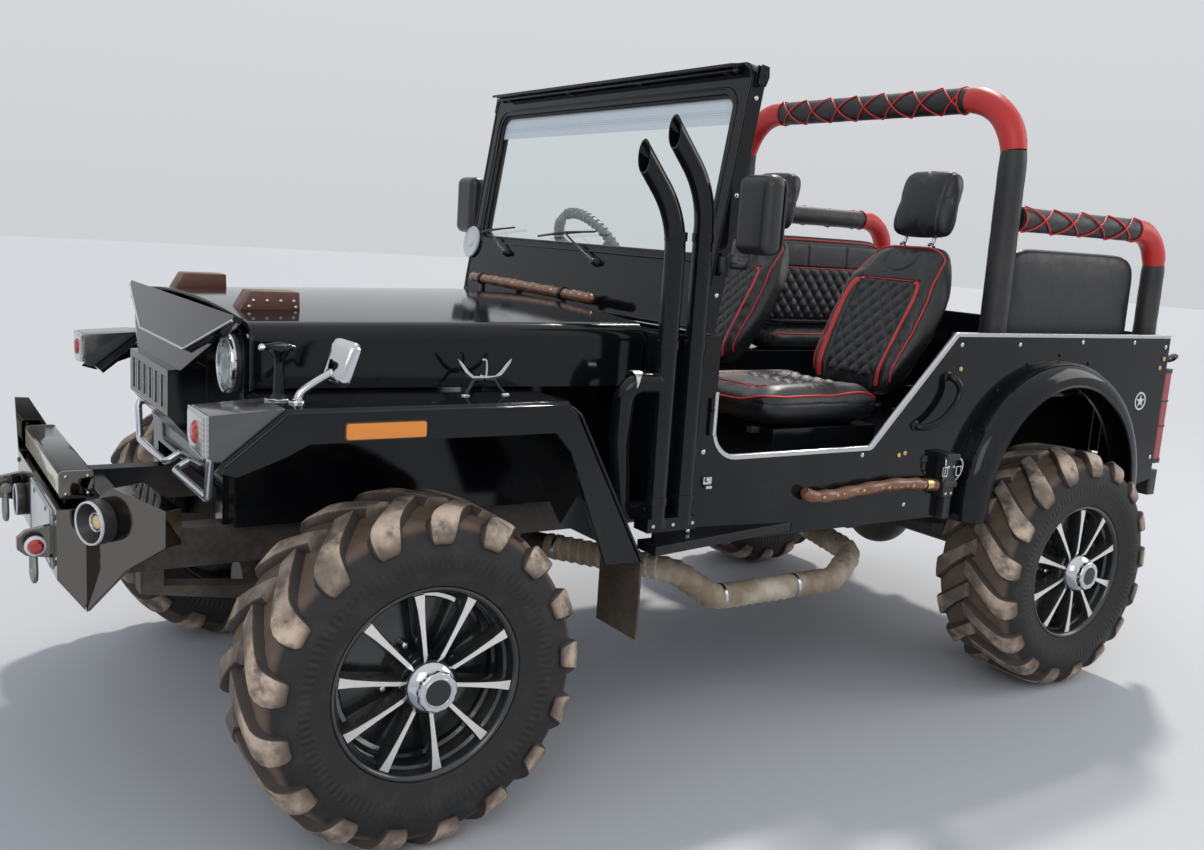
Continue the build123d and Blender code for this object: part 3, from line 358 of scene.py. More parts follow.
half_wall = [(0.0, 0.3715), (0.05, 0.3705), (0.1, 0.3685), (0.117, 0.364), (0.130, 0.353), (0.141, 0.332),
             (0.1475, 0.305), (0.149, 0.285), (0.1478, 0.282), (0.1478, 0.270), (0.1462, 0.267), (0.141, 0.247),
             (0.134, 0.232), (0.1335, 0.227), (0.130, 0.2235), (0.1275, 0.2235), (0.114, 0.2152)]
carcass = lathe(half_wall + [(-x, r) for x, r in reversed(half_wall[1:])], 136, closed=True)

# The lug's crest line over the shoulder. Columns: across, radius, turn back, crest width, foot width, depth
lug_line = [(-0.010, 0.3945, 1.8, 46, 72, 30), (0.012, 0.3945, 4.0, 47, 72, 30), (0.040, 0.394, 7.2, 48, 74, 30),
            (0.068, 0.3935, 10.6, 53, 78, 30), (0.092, 0.392, 13.6, 59, 84, 29), (0.110, 0.389, 15.8, 65, 89, 27),
            (0.125, 0.382, 17.4, 69, 92, 25), (0.137, 0.370, 18.4, 69, 91, 23), (0.146, 0.354, 19.0, 65, 87, 20),
            (0.1505, 0.337, 19.3, 58, 79, 16), (0.1495, 0.322, 19.4, 46, 67, 10)]


def around(line, i):
    """The direction of a line of (a, b) points at one of them."""
    before, after = line[max(i - 1, 0)], line[min(i + 1, len(line) - 1)]
    return Vector((after[0] - before[0], after[1] - before[1])).normalized()


rings = []
for i, (x, r, turn_back, crest, foot, depth) in enumerate(lug_line):
    along = around(lug_line, i)
    inward = Vector((along[1], -along[0])) * depth / 1000
    # Columns: sideways share of the crest or foot, share of the depth
    outline = [(-0.5 * foot, 1.0), (-0.5 * crest - 3, 0.16), (-0.5 * crest + 1, 0.02), (-0.2 * crest, 0.0),
               (0.2 * crest, 0.0), (0.5 * crest - 2, 0.02), (0.5 * crest + 2, 0.12), (0.44 * foot, 0.62),
               (0.5 * foot + 4, 1.0)]
    ring = []
    for side, deep in outline:
        px, pr = x + inward[0] * deep, r + inward[1] * deep
        angle = math.radians(turn_back) - side / 1000 / 0.39
        wear = 0.0012 * noise.noise(Vector((px * 30, side * 0.06, i * 0.7)))
        ring.append((px, -(pr + wear) * math.sin(angle), (pr + wear) * math.cos(angle)))
    rings.append(ring)
lug = skin(rings)
lugs = []
for i in range(LUGS):
    lugs.append(placed(lug, turned(360 / LUGS * i)))
    lugs.append(placed(mirrored(lug), turned(360 / LUGS * (i + 0.5))))


def height_above(mesh):
    """Stores how far each point stands out of the plain carcass, for the dust and the painted shade in the grooves."""
    store = mesh.attributes.new("above_carcass", "FLOAT", "POINT")
    for vertex in mesh.vertices:
        spot = Vector((abs(vertex.co.x), math.hypot(vertex.co.y, vertex.co.z)))
        gaps = []
        for start, end in zip(half_wall, half_wall[1:]):
            a, b = Vector(start), Vector(end)
            share = min(max((spot - a).dot(b - a) / (b - a).length_squared, 0.0), 1.0)
            gaps.append((spot - a.lerp(b, share)).length)
        store.data[vertex.index].value = min(gaps)
    return mesh


tyre = joined([carcass] + lugs)
tyre_mesh = {"left": height_above(mesh_of("tractor_tyre", tyre, tyre_rubber, 38, 0.0022)),
             "right": height_above(mesh_of("tractor_tyre_right", mirrored(tyre), tyre_rubber, 38, 0.0022))}

# Alloy wheels.
# Cast wheels sprayed gloss black, with ten thin spokes whose flared faces are machined bright; a
# stepped barrel, five nuts behind the spokes and a bright cone that carries a plain cap.
def patterned(name, kind, pattern, colours, rough, bump=None, dust=None, more=None, stretch=None, **settings):
    """A finish whose colour, gloss and relief follow one texture; stretch draws the texture out."""
    made, tree, shader = start_finish(name)
    if stretch:
        place = add(tree, "TexCoord").outputs["Object"]
        pattern["Vector"] = add(tree, "Mapping", {"Vector": place, "Scale": stretch}).outputs[0]
    value = texture(tree, kind, pattern, **settings)
    colour = blend(tree, value, *colours) if len(colours) == 2 else colours
    if dust:
        colour = dusty(tree, colour, *dust)["Colour"]
    inputs = {"Base Color": colour, "Roughness": varied(tree, value, *rough), **(more or {})}
    if bump:
        inputs["Normal"] = relief(tree, value, *bump)
    wire(tree, shader, inputs)
    return made


barrel = lathe([(0.130, 0.2225), (0.131, 0.2175), (0.127, 0.212), (0.118, 0.208), (0.100, 0.2065), (0.096, 0.199),
                (0.060, 0.197), (0.055, 0.188), (0.010, 0.186), (-0.120, 0.200), (-0.131, 0.2175), (-0.130, 0.2225),
                (-0.118, 0.2145), (0.118, 0.2145)], 96, closed=True)
hub = lathe([(0.060, 0.0), (0.060, 0.070), (0.108, 0.066), (0.118, 0.060), (0.124, 0.050), (0.126, 0.0)], 64)
plate_back = lathe([(0.045, 0.030), (0.045, 0.178), (0.056, 0.178), (0.062, 0.100), (0.062, 0.030)], 64, closed=True)
spoke_rings, face_rings = [], []
# Columns: distance from the hub centre, half width in front, half width behind, front face, lift of the bright face
for r, front, back, face, lift in (
        (0.050, 0.0055, 0.014, 0.1225, 0.0004), (0.085, 0.0050, 0.013, 0.1245, 0.0006),
        (0.130, 0.0060, 0.012, 0.1250, 0.0006), (0.175, 0.0085, 0.012, 0.1250, 0.0006),
        (0.200, 0.0115, 0.014, 0.1245, 0.0006), (0.2075, 0.0125, 0.015, 0.1235, 0.0004)):
    spoke_rings.append([(0.082, -back, r), (0.082, back, r), (face, front, r), (face, -front, r)])
    half = front * 0.93
    face_rings.append([(face + lift, -half, r), (face + lift, half, r), (face - 0.001, half, r), (face - 0.001, -half, r)])
spoke, spoke_face = skin(spoke_rings), skin(face_rings)
cone = lathe([(0.118, 0.0), (0.118, 0.067), (0.127, 0.0665), (0.141, 0.062), (0.153, 0.054), (0.160, 0.046),
              (0.1605, 0.0)], 64)
lobes = [(math.tau * k / 120, 1 + 0.022 * math.cos(12 * math.tau * k / 120)) for k in range(120)]
cap_rim = skin([[(x, r * swell * math.cos(a), r * swell * math.sin(a)) for a, swell in lobes]
                for x, r in ((0.158, 0.0435), (0.166, 0.0455), (0.173, 0.0455), (0.1768, 0.0425))])
cap_badge = lathe([(0.176, 0.0), (0.176, 0.0295), (0.1773, 0.0292), (0.1776, 0.0265), (0.1771, 0.0)], 48)
cap_ring = lathe([(0.1765, 0.0295), (0.1765, 0.0330), (0.1780, 0.0325), (0.1780, 0.0300)], 48, closed=True)
nut = lathe([(0.062, 0.0), (0.062, 0.0105), (0.078, 0.0105), (0.082, 0.007), (0.082, 0.0)], 6)

alloy_black = coated_metal("wheel_black_lacquer", (0.010, 0.011, 0.012, 1), GREY_DUST, 0.25, 1.5, 0.14, (300, 0.00008),
                           coat=0.5)
badge_black = coated_metal("cap_black_enamel", (0.012, 0.012, 0.013, 1), GREY_DUST, 0.1, 1.5, 0.2, (500, 0.00004))
machined = patterned("machined_spoke_face", "Wave", {"Scale": 260, "Distortion": 0.4, "Detail": 2},
                     (0.86, 0.83, 0.80, 1), (0.28, 0.4), (0.5, 0.00008), (TAN_DUST, 0.35, 1.5), {"Metallic": 0.85},
                     wave_type="RINGS", rings_direction="X")

black_casting = joined([barrel, hub, plate_back] + [placed(spoke, turned(36 * i - 90)) for i in range(10)])
bright_faces = joined([placed(spoke_face, turned(36 * i - 90)) for i in range(10)])
nuts = [placed(nut, turned(72 * i - 72) @ shifted(0, 0, 0.088)) for i in range(5)]
bright_cone = joined([cone, cap_rim, cap_ring] + nuts)
wheel_parts = {}
# Columns: name, its mesh's name, form, finish, crease angle, roundness
for name, mesh_name, shape, finish, crease, roundness in (
        ("casting", "wheel_casting_", black_casting, alloy_black, 35, 0.0012),
        ("spoke_faces", "spoke_faces_", bright_faces, machined, 35, 0.0),
        ("cone", "wheel_cone_", bright_cone, chrome, 25, 0.0006),
        ("cap", "wheel_cap_", cap_badge, badge_black, 35, 0.0)):
    for side in ("left", "right"):
        form = shape if side == "left" else mirrored(shape)
        wheel_parts[name, side] = mesh_of(mesh_name + side, form, finish, crease, roundness)

# Columns: axle, its place from the front axle, turn of the spokes
for end, y, spoke_turn in (("front", 0.0, 26), ("rear", REAR_Y, 18)):
    for side, x in (("left", WHEEL_X), ("right", -WHEEL_X)):
        body = f"wheel_{end}_{side}"
        tyre = link_object(f"lugged_tyre_{end}_{side}", tyre_mesh[side])
        tyre.location = (x, y + AXLE_Y, WHEEL_Z)
        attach(tyre, body)
        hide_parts(f"tyre_{end}_{side}")
        for name in ("casting", "spoke_faces", "cone", "cap"):
            made = link_object(f"{name}_{end}_{side}", wheel_parts[name, side])
            made.location = (x, y + AXLE_Y, WHEEL_Z)
            made.rotation_euler = (math.radians(spoke_turn), 0, 0)
            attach(made, body)
            if name == "casting":
                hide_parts(f"rim_{end}_{side}")

# Front seats.
# Two bucket seats in black leather over shaped foam: quilted diamonds in the middle, a plain upper
# panel with a sewn arch, side bolsters with a broad red band, and red piping along every edge.
def leather_finish(name, colour, amount=0.25, grain=900, rough=(0.38, 0.58)):
    """Grained leather: fine pebble, soft creases, patchy sheen and a little dust."""
    made, tree, shader = start_finish(name)
    pebble = texture(tree, "Voronoi", {"Scale": grain * 0.4})
    crease = texture(tree, "Noise", {"Scale": 34, "Detail": 6})
    height = calc(tree, "ADD", calc(tree, "MULTIPLY", crease, 2.2), pebble)
    wire(tree, shader, {"Base Color": dusty(tree, colour, TAN_DUST, amount, 2.2)["Colour"],
                        "Roughness": varied(tree, crease, *rough), "Normal": relief(tree, height, 0.6, 0.0005)})
    return made


black_leather = leather_finish("black_grained_leather", (0.0075, 0.0085, 0.0115, 1), 0.05, 900, (0.34, 0.50))
red_leather = leather_finish("red_grained_leather", (0.55, 0.022, 0.018, 1), 0.1, 1100, (0.32, 0.48))
red_piping = leather_finish("red_piping_cord", (0.60, 0.020, 0.020, 1), 0.08, 1600, (0.35, 0.5))


def smooth_path(points, steps=6, closed=False):
    """A rounded line through points, from Catmull-Rom spans."""
    points = [Vector(p) for p in points]
    count = len(points)
    path = []
    for i in range(count if closed else count - 1):
        a, b, c, d = [points[(i + k) % count] if closed else points[min(max(i + k, 0), count - 1)] for k in (-1, 0, 1, 2)]
        for step in range(steps):
            t = step / steps
            square = (2 * a - 5 * b + 4 * c - d) * t ** 2
            cube = (3 * b - a - 3 * c + d) * t ** 3
            path.append(0.5 * (2 * b + (c - a) * t + square + cube))
    return path if closed else path + [points[-1]]


def tube(path, radius, sides=10, closed=False, facing=None, flatness=1.0):
    """A bar swept along a path; with facing normals it lies flat, flatness times as thick as wide."""
    rings = []
    normal = None
    count = len(path)
    angles = [math.tau * k / sides for k in range(sides)]
    for i, point in enumerate(path):
        before = path[(i - 1) % count] if closed or i else path[0]
        after = path[(i + 1) % count] if closed or i < count - 1 else path[-1]
        along = (Vector(after) - Vector(before)).normalized()
        if facing is not None:
            normal = facing[i]
        elif normal is None:
            normal = along.orthogonal()
        normal = (normal - along * normal.dot(along)).normalized()
        across = along.cross(normal)
        r = radius[i] if isinstance(radius, (list, tuple)) else radius
        rings.append([Vector(point) + across * (r * math.cos(a)) + normal * (r * flatness * math.sin(a)) for a in angles])
    if closed:
        twist = min(range(sides), key=lambda k: (rings[-1][0] - rings[0][k]).length)
        rings.append(rings[0][twist:] + rings[0][:twist])
    return skin(rings, caps=not closed)


def soft_form(name, shape, voxel, swell):
    """Foam under leather: remeshed, blown up a little as cloth, held to a cap, then subdivided once."""
    made = link_object(name, mesh_of(name, shape, black_leather))
    made.modifiers.new("Remesh", "REMESH").voxel_size = voxel
    scene = bpy.context.scene

    def settled():
        bpy.context.view_layer.update()
        mesh = bpy.data.meshes.new_from_object(made.evaluated_get(bpy.context.evaluated_depsgraph_get()))
        made.modifiers.clear()
        made.data = mesh
    settled()
    before = [v.co.copy() for v in made.data.vertices]
    cloth = made.modifiers.new("Cloth", "CLOTH").settings
    cloth.use_pressure = True
    cloth.uniform_pressure_force = 4
    cloth.effector_weights.gravity = 0
    for number in range(1, 21):
        scene.frame_set(number)
    settled()
    scene.frame_set(1)
    for vertex, old in zip(made.data.vertices, before):
        move = vertex.co - old
        if move.length > swell:
            vertex.co = old + move * (swell / move.length)
    made.modifiers.new("Subdivision", "SUBSURF").levels = 1
    settled()
    return made


def press_detail(made, depth_at):
    """Moves each point along its own normal by what the sewing pattern says."""
    mesh = made.data
    moves = [(v.normal.copy(), depth_at(v.co, v.normal)) for v in mesh.vertices]
    for vertex, (normal, depth) in zip(mesh.vertices, moves):
        vertex.co += normal * depth
    mesh.update()
    mesh.polygons.foreach_set("use_smooth", [True] * len(mesh.polygons))
    mesh.materials.clear()
    mesh.materials.append(black_leather)


def step_up(value, low, high):
    share = min(max((value - low) / (high - low), 0.0), 1.0)
    return share * share * (3 - 2 * share)


def diamonds(u, v, wide, tall):
    """Height of puffed diamond quilting, 0 in the seams and 1 in the middle of a diamond."""
    a, b = u / wide + v / tall, u / wide - v / tall
    return math.sqrt(abs(math.sin(math.pi * a) * math.sin(math.pi * b)))


def groove(distance, width):
    return math.exp(-(distance / width) ** 2)


def form_shape(form):
    return [v.co.copy() for v in form.data.vertices], [tuple(p.vertices) for p in form.data.polygons]


def piping(form, points, aim, radius=0.0032, flatness=1.0, lift=0.0012, steps=8):
    """A cord along a line of points that are dropped onto a padded form."""
    surface = BVHTree.FromPolygons(*form_shape(form))
    path, facing = [], []
    for point in smooth_path(points, steps):
        spot, normal = surface.ray_cast(Vector(point) - Vector(aim) * 0.4, Vector(aim))[:2]
        if spot is not None:
            path.append(spot + normal * lift)
            facing.append(normal)
    return tube(path, radius, 8, False, facing, flatness)


def mirror_line(half, flip=(-1, 1, 1), shared=1):
    """A line and its mirror image, which have some middle points in common."""
    return half + [tuple(a * b for a, b in zip(p, flip)) for p in reversed(half[:len(half) - shared])]


def signed(value, power):
    return math.copysign(abs(value) ** power, value)


def foam(levels, around, ends, point):
    """Rings of a stuffed form; point places a spot by its share of the length, fullness, cosine and sine."""
    rings = []
    angles = [math.tau * k / around for k in range(around)]
    for i in range(levels + 1):
        share = i / levels
        closing = (1 - abs(2 * share - 1) ** ends[0]) ** ends[1]
        rings.append([point(share, closing, math.cos(a), math.sin(a)) for a in angles])
    return skin(rings)


BACK_HALF, BACK_HIGH, BACK_DEEP, BACK_LEAN = 0.222, 0.552, 0.056, -28
HEADREST_TILT = 15
PANEL_LOW, PANEL_HIGH = 0.055, 0.392
FORWARD, DOWN = (0, 1, 0), (0, 0, -1)
FOAM_VOXEL = 0.0075


def back_width(v):
    """Half width of the seat back at a height: waisted low down, drawn in towards the shoulders."""
    share = v / BACK_HIGH
    return BACK_HALF * (0.86 + 0.14 * step_up(share, 0.0, 0.45) - 0.22 * step_up(share, 0.62, 1.0))


def back_spot(share, closing, c, s):
    v = BACK_HIGH * share
    u = back_width(v) * signed(c, 0.55) * (0.55 + 0.45 * closing)
    w = BACK_DEEP * signed(s, 0.6) * max(closing, 0.05)
    if s < 0:
        bolster = step_up(abs(u), 0.105, 0.160) * (1 - step_up(abs(u), 0.185, 0.225)) * (1 - step_up(share, 0.66, 0.92))
        w = w * 0.66 - 0.016 * bolster * closing
    return u, w, v


def back_sewing(p, n):
    """Quilting in the middle panel, seams round it, and a sewn arch in the upper panel."""
    if n.y > -0.2:
        return 0.0
    u, v = p.x, p.z
    half = 0.104 + 0.020 * step_up(v, 0.05, 0.30)
    inside = (1 - step_up(abs(u), half - 0.006, half)) * step_up(v, PANEL_LOW - 0.004, PANEL_LOW + 0.004)
    inside *= 1 - step_up(v, PANEL_HIGH - 0.006, PANEL_HIGH)
    depth = 0.0078 * inside * (diamonds(u, v, 0.050, 0.064) - 0.35)
    depth -= 0.005 * groove(abs(u) - half - 0.002, 0.004) * (1 - step_up(v, 0.385, 0.415))
    depth -= 0.005 * groove(v - PANEL_HIGH, 0.004) * (1 - step_up(abs(u), half, half + 0.02))
    arch = math.hypot(u / 0.066, (v - 0.475) / 0.050) if v < 0.475 else abs(u) / 0.066
    depth -= 0.0045 * groove((arch - 1) * 0.05, 0.0035) * (1 - step_up(v, 0.497, 0.507))
    return depth - 0.004 * groove(abs(u) - back_width(v) * 0.84, 0.005) * (1 - step_up(v, 0.49, 0.52))


seat_back = soft_form("seat_back_form", foam(44, 64, (5, 0.42), back_spot), FOAM_VOXEL, 0.010)
press_detail(seat_back, back_sewing)
edge_line = mirror_line([(-0.165, 0, 0.022), (-0.176, 0, 0.12), (-0.184, 0, 0.22), (-0.184, 0, 0.33), (-0.170, 0, 0.43),
                         (-0.150, 0, 0.496), (-0.095, 0, 0.525), (0, 0, 0.531)])
band_line = [(-0.128, 0, 0.03), (-0.136, 0, 0.12), (-0.143, 0, 0.22), (-0.146, 0, 0.31), (-0.138, 0, 0.368),
             (-0.108, 0, 0.395)]
top_line = [(-0.10, 0, 0.3945), (0, 0, 0.3945), (0.10, 0, 0.3945)]
band = piping(seat_back, band_line, FORWARD, 0.0085, 0.28, 0.0006, 10)
back_trim = joined([piping(seat_back, edge_line, FORWARD, steps=10), band, mirrored(band),
                    piping(seat_back, top_line, FORWARD, 0.0022, steps=12)])


# Headrest: a stuffed block drawn in at its corners, with one sewn band over its crown.
def headrest_spot(share, closing, c, s):
    return (0.121 * signed(c, 0.55) * (0.62 + 0.38 * closing) * (1 - 0.10 * share),
            0.046 * signed(s, 0.65) * max(closing, 0.05), 0.002 + 0.221 * share)


headrest = soft_form("headrest_form", foam(32, 56, (4.5, 0.40), headrest_spot), FOAM_VOXEL, 0.008)
press_detail(headrest, lambda p, n: -0.0035 * groove(abs(p.x) - 0.086, 0.0035) - 0.003 * groove(p.y - 0.030, 0.004))
headrest.data.transform(shifted(0, -0.006, BACK_HIGH + 0.022) @ turned(HEADREST_TILT))
sleeve_top = lathe([(0, 0), (0, 0.014), (0.007, 0.012), (0.008, 0.007), (0.008, 0)], 24)
posts = joined([tube([(x, 0.0, 0.53), (x, 0.0, 0.56), (x, -0.006, 0.60)], 0.0062, 16) for x in (-0.06, 0.06)]
               + [placed(sleeve_top, shifted(x, 0.0, 0.546) @ turned(-90, "Y")) for x in (-0.06, 0.06)])

# Cushion: deep foam, thicker in front, its sides drawn in between the corners.
CUSHION_HALF, CUSHION_LONG = 0.226, 0.248


def cushion_spot(share, closing, c, s):
    waist = 1 - 0.035 * math.sin(math.pi * share) ** 2 + 0.02 * share
    x = CUSHION_HALF * waist * signed(c, 0.45) * (0.62 + 0.38 * closing)
    z = 0.054 * signed(s, 0.55) * max(closing, 0.05)
    if s > 0:
        inner = step_up(abs(x), 0.09, 0.16)
        z += 0.012 * inner * (1 - step_up(abs(x), 0.185, 0.225)) * closing - 0.009 * closing
    return x, CUSHION_LONG * (2 * share - 1), z


def cushion_sewing(p, n):
    if n.z < 0.25:
        return -0.004 * groove(p.z - 0.012, 0.004)
    edge = max(abs(p.x) - 0.128 - 0.02 * p.y, -p.y - 0.182)
    inside = 1 - step_up(edge, -0.008, 0.0)
    quilted = inside * step_up(p.y, -0.05, -0.03)
    depth = -0.0055 * groove(edge, 0.005) - 0.004 * groove(p.y + 0.04, 0.004) * inside
    return depth + 0.0065 * quilted * (diamonds(p.x, p.y, 0.052, 0.062) - 0.4)


cushion = soft_form("seat_cushion_form", foam(40, 64, (6, 0.42), cushion_spot), FOAM_VOXEL, 0.010)
press_detail(cushion, cushion_sewing)
rim_line = mirror_line([(-0.196, 0.212, 0), (-0.197, 0.09, 0), (-0.198, -0.05, 0), (-0.198, -0.17, 0),
                        (-0.165, -0.222, 0), (-0.08, -0.233, 0)], shared=0)
insert_line = mirror_line([(-0.133, 0.20, 0), (-0.129, 0.05, 0), (-0.126, -0.09, 0), (-0.120, -0.162, 0),
                           (-0.09, -0.184, 0), (0, -0.189, 0)])
cushion_trim = joined([piping(cushion, rim_line, DOWN, steps=10), piping(cushion, insert_line, DOWN, 0.0024, steps=10)])

SEAT_X, SEAT_Y, BACK_Y = 0.385, 1.385, 1.675
for side, x in (("left", SEAT_X), ("right", -SEAT_X)):
    back_place = shifted(x, BACK_Y + AXLE_Y, 0.935) @ turned(BACK_LEAN)
    seat_place = shifted(x, SEAT_Y + AXLE_Y, 0.925)
    # Columns: name, mesh, place, replaced node, how full the stuffing is
    for name, mesh, place, node, fill in (
            ("seat_back", seat_back.data, back_place, "seat_backs", 0.7),
            ("headrest", headrest.data, back_place, "seat_backs", 0.8),
            ("seat_cushion", cushion.data, seat_place, "seat_cushions", 0.7),
            ("seat_back_piping", mesh_of("seat_back_piping", back_trim, red_piping, 60), back_place, None, 0),
            ("headrest_posts", mesh_of("headrest_posts", posts, chrome, 60), back_place, None, 0),
            ("seat_cushion_piping", mesh_of("seat_cushion_piping", cushion_trim, red_piping, 60), seat_place, None, 0)):
        made = link_object(f"{name}_{side}", mesh)
        made.matrix_world = place
        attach(made, "root")
        if node:
            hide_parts(node)
for form in (seat_back, headrest, cushion):
    bpy.data.objects.remove(form)

# Rear benches.
# Side-facing bench pads on the wheel boxes, with upright backs against the body sides: black leather
# quilted in diamonds under three plain panels, a plain board behind, and red piping round the face.
def fit_piece(name, shapes, finish, body="root", crease=35, roundness=0.0, place=None, pair=False, node=None):
    """A piece drawn from the front axle, on its body; pair adds its mirror image, node is what it replaces."""
    shape = joined(shapes) if isinstance(shapes, list) else shapes
    if place:
        shape = placed(shape, place)
    if pair:
        shape = both_sides(shape)
    made = link_object(name, mesh_of(name, placed(shape, shifted(0, AXLE_Y, 0)), finish, crease, roundness))
    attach(made, body)
    if node:
        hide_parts(node)
    return made


def pillow(half, corner, soft, levels=24, around=88):
    """A stuffed block about its own centre: rounded corners in the y-z plane, crowned towards x."""
    rings = []
    angles = [math.tau * k / around for k in range(around)]
    for i in range(levels + 1):
        share = 2 * i / levels - 1
        shrink = soft * (1 - math.sqrt(max(0.0, 1 - abs(share) ** 4)))
        rings.append([(half[0] * share, (half[1] - shrink) * signed(math.cos(a), corner),
                       (half[2] - shrink) * signed(math.sin(a), corner)) for a in angles])
    return skin(rings)


def bench_back_sewing(p, n):
    if n.x > -0.25:
        return 0.0
    edge = max(abs(p.y) - 0.318, abs(p.z) - 0.160)
    inside = 1 - step_up(edge, -0.006, 0.0)
    upper = step_up(p.z, 0.052, 0.060)
    depth = 0.008 * inside * (1 - upper) * (diamonds(p.y, p.z, 0.056, 0.066) - 0.35) - 0.005 * groove(edge, 0.005)
    depth -= 0.005 * groove(p.z - 0.056, 0.004) * inside
    depth -= 0.005 * upper * inside * max(groove(p.y - 0.11, 0.004), groove(p.y + 0.11, 0.004))
    return depth + 0.003 * upper * inside


def bench_cushion_sewing(p, n):
    if n.z < 0.3:
        return 0.0
    inside = 1 - step_up(max(abs(p.y) - 0.33, abs(p.x) - 0.056), -0.008, 0)
    return 0.005 * inside * (diamonds(p.x, p.y, 0.056, 0.066) - 0.4)


BENCH_Y, BENCH_SEAT_Z, BENCH_BACK_Z = 2.450, 1.0053, 1.2456
ALONG_Y_FLIP = (1, -1, 1)
bench_back = soft_form("bench_back_form", pillow((0.027, 0.352, 0.192), 0.30, 0.030), 0.0115, 0.006)
press_detail(bench_back, bench_back_sewing)
bench_block = placed(pillow((0.036, 0.358, 0.078), 0.28, 0.022), turned(90, "Y"))
bench_cushion = soft_form("bench_cushion_form", bench_block, 0.010, 0.008)
press_detail(bench_cushion, bench_cushion_sewing)
back_edge = [(0, -0.325, -0.10), (0, -0.325, 0.08), (0, -0.300, 0.155), (0, -0.22, 0.170), (0, 0, 0.172)]
seat_edge = [(-0.064, 0.33, 0), (-0.066, 0.2, 0), (-0.066, 0, 0)]
panel_line = [(0, -0.315, 0.056), (0, 0, 0.056), (0, 0.315, 0.056)]
back_cords = joined([piping(bench_back, mirror_line(back_edge, ALONG_Y_FLIP), (1, 0, 0), 0.0036, steps=12),
                     piping(bench_back, panel_line, (1, 0, 0), 0.0026, steps=16)])
seat_cord = piping(bench_cushion, mirror_line(seat_edge, ALONG_Y_FLIP), DOWN, 0.0036, steps=12)
for side in ("left", "right"):
    # Columns: name, form, its middle, replaced node, how full the stuffing is, its piping
    for name, form, middle, node, fill, cords in (
            ("bench_back", bench_back, (0.600, BENCH_Y, BENCH_BACK_Z), "bench_backs", 0.6, back_cords),
            ("bench_cushion", bench_cushion, (0.560, BENCH_Y, BENCH_SEAT_Z), "bench_cushions", 0.7, seat_cord)):
        pad, cords = placed(form_shape(form), shifted(*middle)), placed(cords, shifted(*middle))
        if side == "right":
            pad, cords = mirrored(pad), mirrored(cords)
        made = fit_piece(f"{name}_{side}", pad, black_leather, crease=180, node=node)
        fit_piece(f"{name}_piping_{side}", cords, red_piping, crease=60)
for form in (bench_back, bench_cushion):
    bpy.data.objects.remove(form)

# Padded hoops.
# Steel tube in sewn foam sleeves: black vinyl on the straights, red leather at the bends, and red cord
# laced criss-cross down the side that faces out.
HOOP_R, HOOP_Y, HOOP_X, HOOP_Z, HOOP_BEND = 0.0435, 2.025, 0.650, 1.890, 0.190
SIDE_R, SIDE_Z, SIDE_REAR, SIDE_BEND = 0.0395, 1.520, 2.862, 0.130
WHEEL_BOX_TOP = 0.9655


def bent_line(corners, bend, step=0.02):
    """Straight runs joined by round bends, sampled evenly."""
    corners = [Vector(c) for c in corners]
    line = [corners[0]]
    for before, corner, after in zip(corners, corners[1:], corners[2:]):
        a, b = (before - corner).normalized(), (after - corner).normalized()
        half = a.angle(b) / 2
        reach = bend / math.tan(half)
        start, end = corner + a * reach, corner + b * reach
        centre = corner + (a + b).normalized() * (bend / math.sin(half))
        sweep = math.pi - 2 * half
        for share in (i / 12 for i in range(13)):
            spoke = (start - centre) * math.sin((1 - share) * sweep) + (end - centre) * math.sin(share * sweep)
            line.append(centre + spoke / math.sin(sweep))
    line.append(corners[-1])
    path = [line[0]]
    for point in line[1:]:
        last = path[-1]
        count = max(1, round((point - last).length / step))
        path += [last.lerp(point, i / count) for i in range(1, count + 1)]
    return path


def sleeve(path, r, seed):
    """A padded sleeve: soft puckers along it and drawn-in hems at both ends."""
    hems = {0: 0.93, 1: 0.985}
    radii = []
    for i in range(len(path)):
        pucker = 0.0012 * (1 + noise.noise(Vector((i * 0.45, seed, 0))))
        radii.append(r * hems.get(min(i, len(path) - 1 - i), 1.0) - pucker)
    return tube(path, radii, 40)


def lace(start, end, centre_angle, r, pitch, offset, out_axis):
    """Two cords that cross to and fro over a straight sleeve."""
    start, end = Vector(start), Vector(end)
    run = (end - start).length
    steps = int(run / 0.006)
    cords = []
    for way in (1, -1):
        points = []
        for i in range(steps + 1):
            swing = math.cos(math.pi * (run * i / steps - offset) / pitch + (math.pi / 2))
            angle = centre_angle + way * math.radians(74) * math.asin(swing) / (math.pi / 2)
            out = Vector(out_axis) * math.cos(angle) + Vector((0, 0, 1)) * math.sin(angle)
            points.append(start.lerp(end, i / steps) + out * (r + 0.0016 + (0.0014 if way > 0 else 0)))
        cords.append(tube(points, 0.0030, 8))
    return joined(cords)


def ring_cord(x, y, z, r, turn=0, thick=0.003, steps=40):
    """A round cord tied once round a tube."""
    angles = [math.tau * k / 8 for k in range(8)]
    cord = lathe([(math.cos(a) * thick, r + math.sin(a) * thick) for a in angles], steps, closed=True)
    return placed(cord, shifted(x, y, z) @ turned(turn, "Z"))


def runs(path, is_red):
    """Splits a path where the leather changes, one point shared at each change."""
    parts = [[is_red(path[0]), [path[0]]]]
    for point in path[1:]:
        if is_red(point) != parts[-1][0]:
            parts.append([is_red(point), [parts[-1][1][-1]]])
        parts[-1][1].append(point)
    return parts


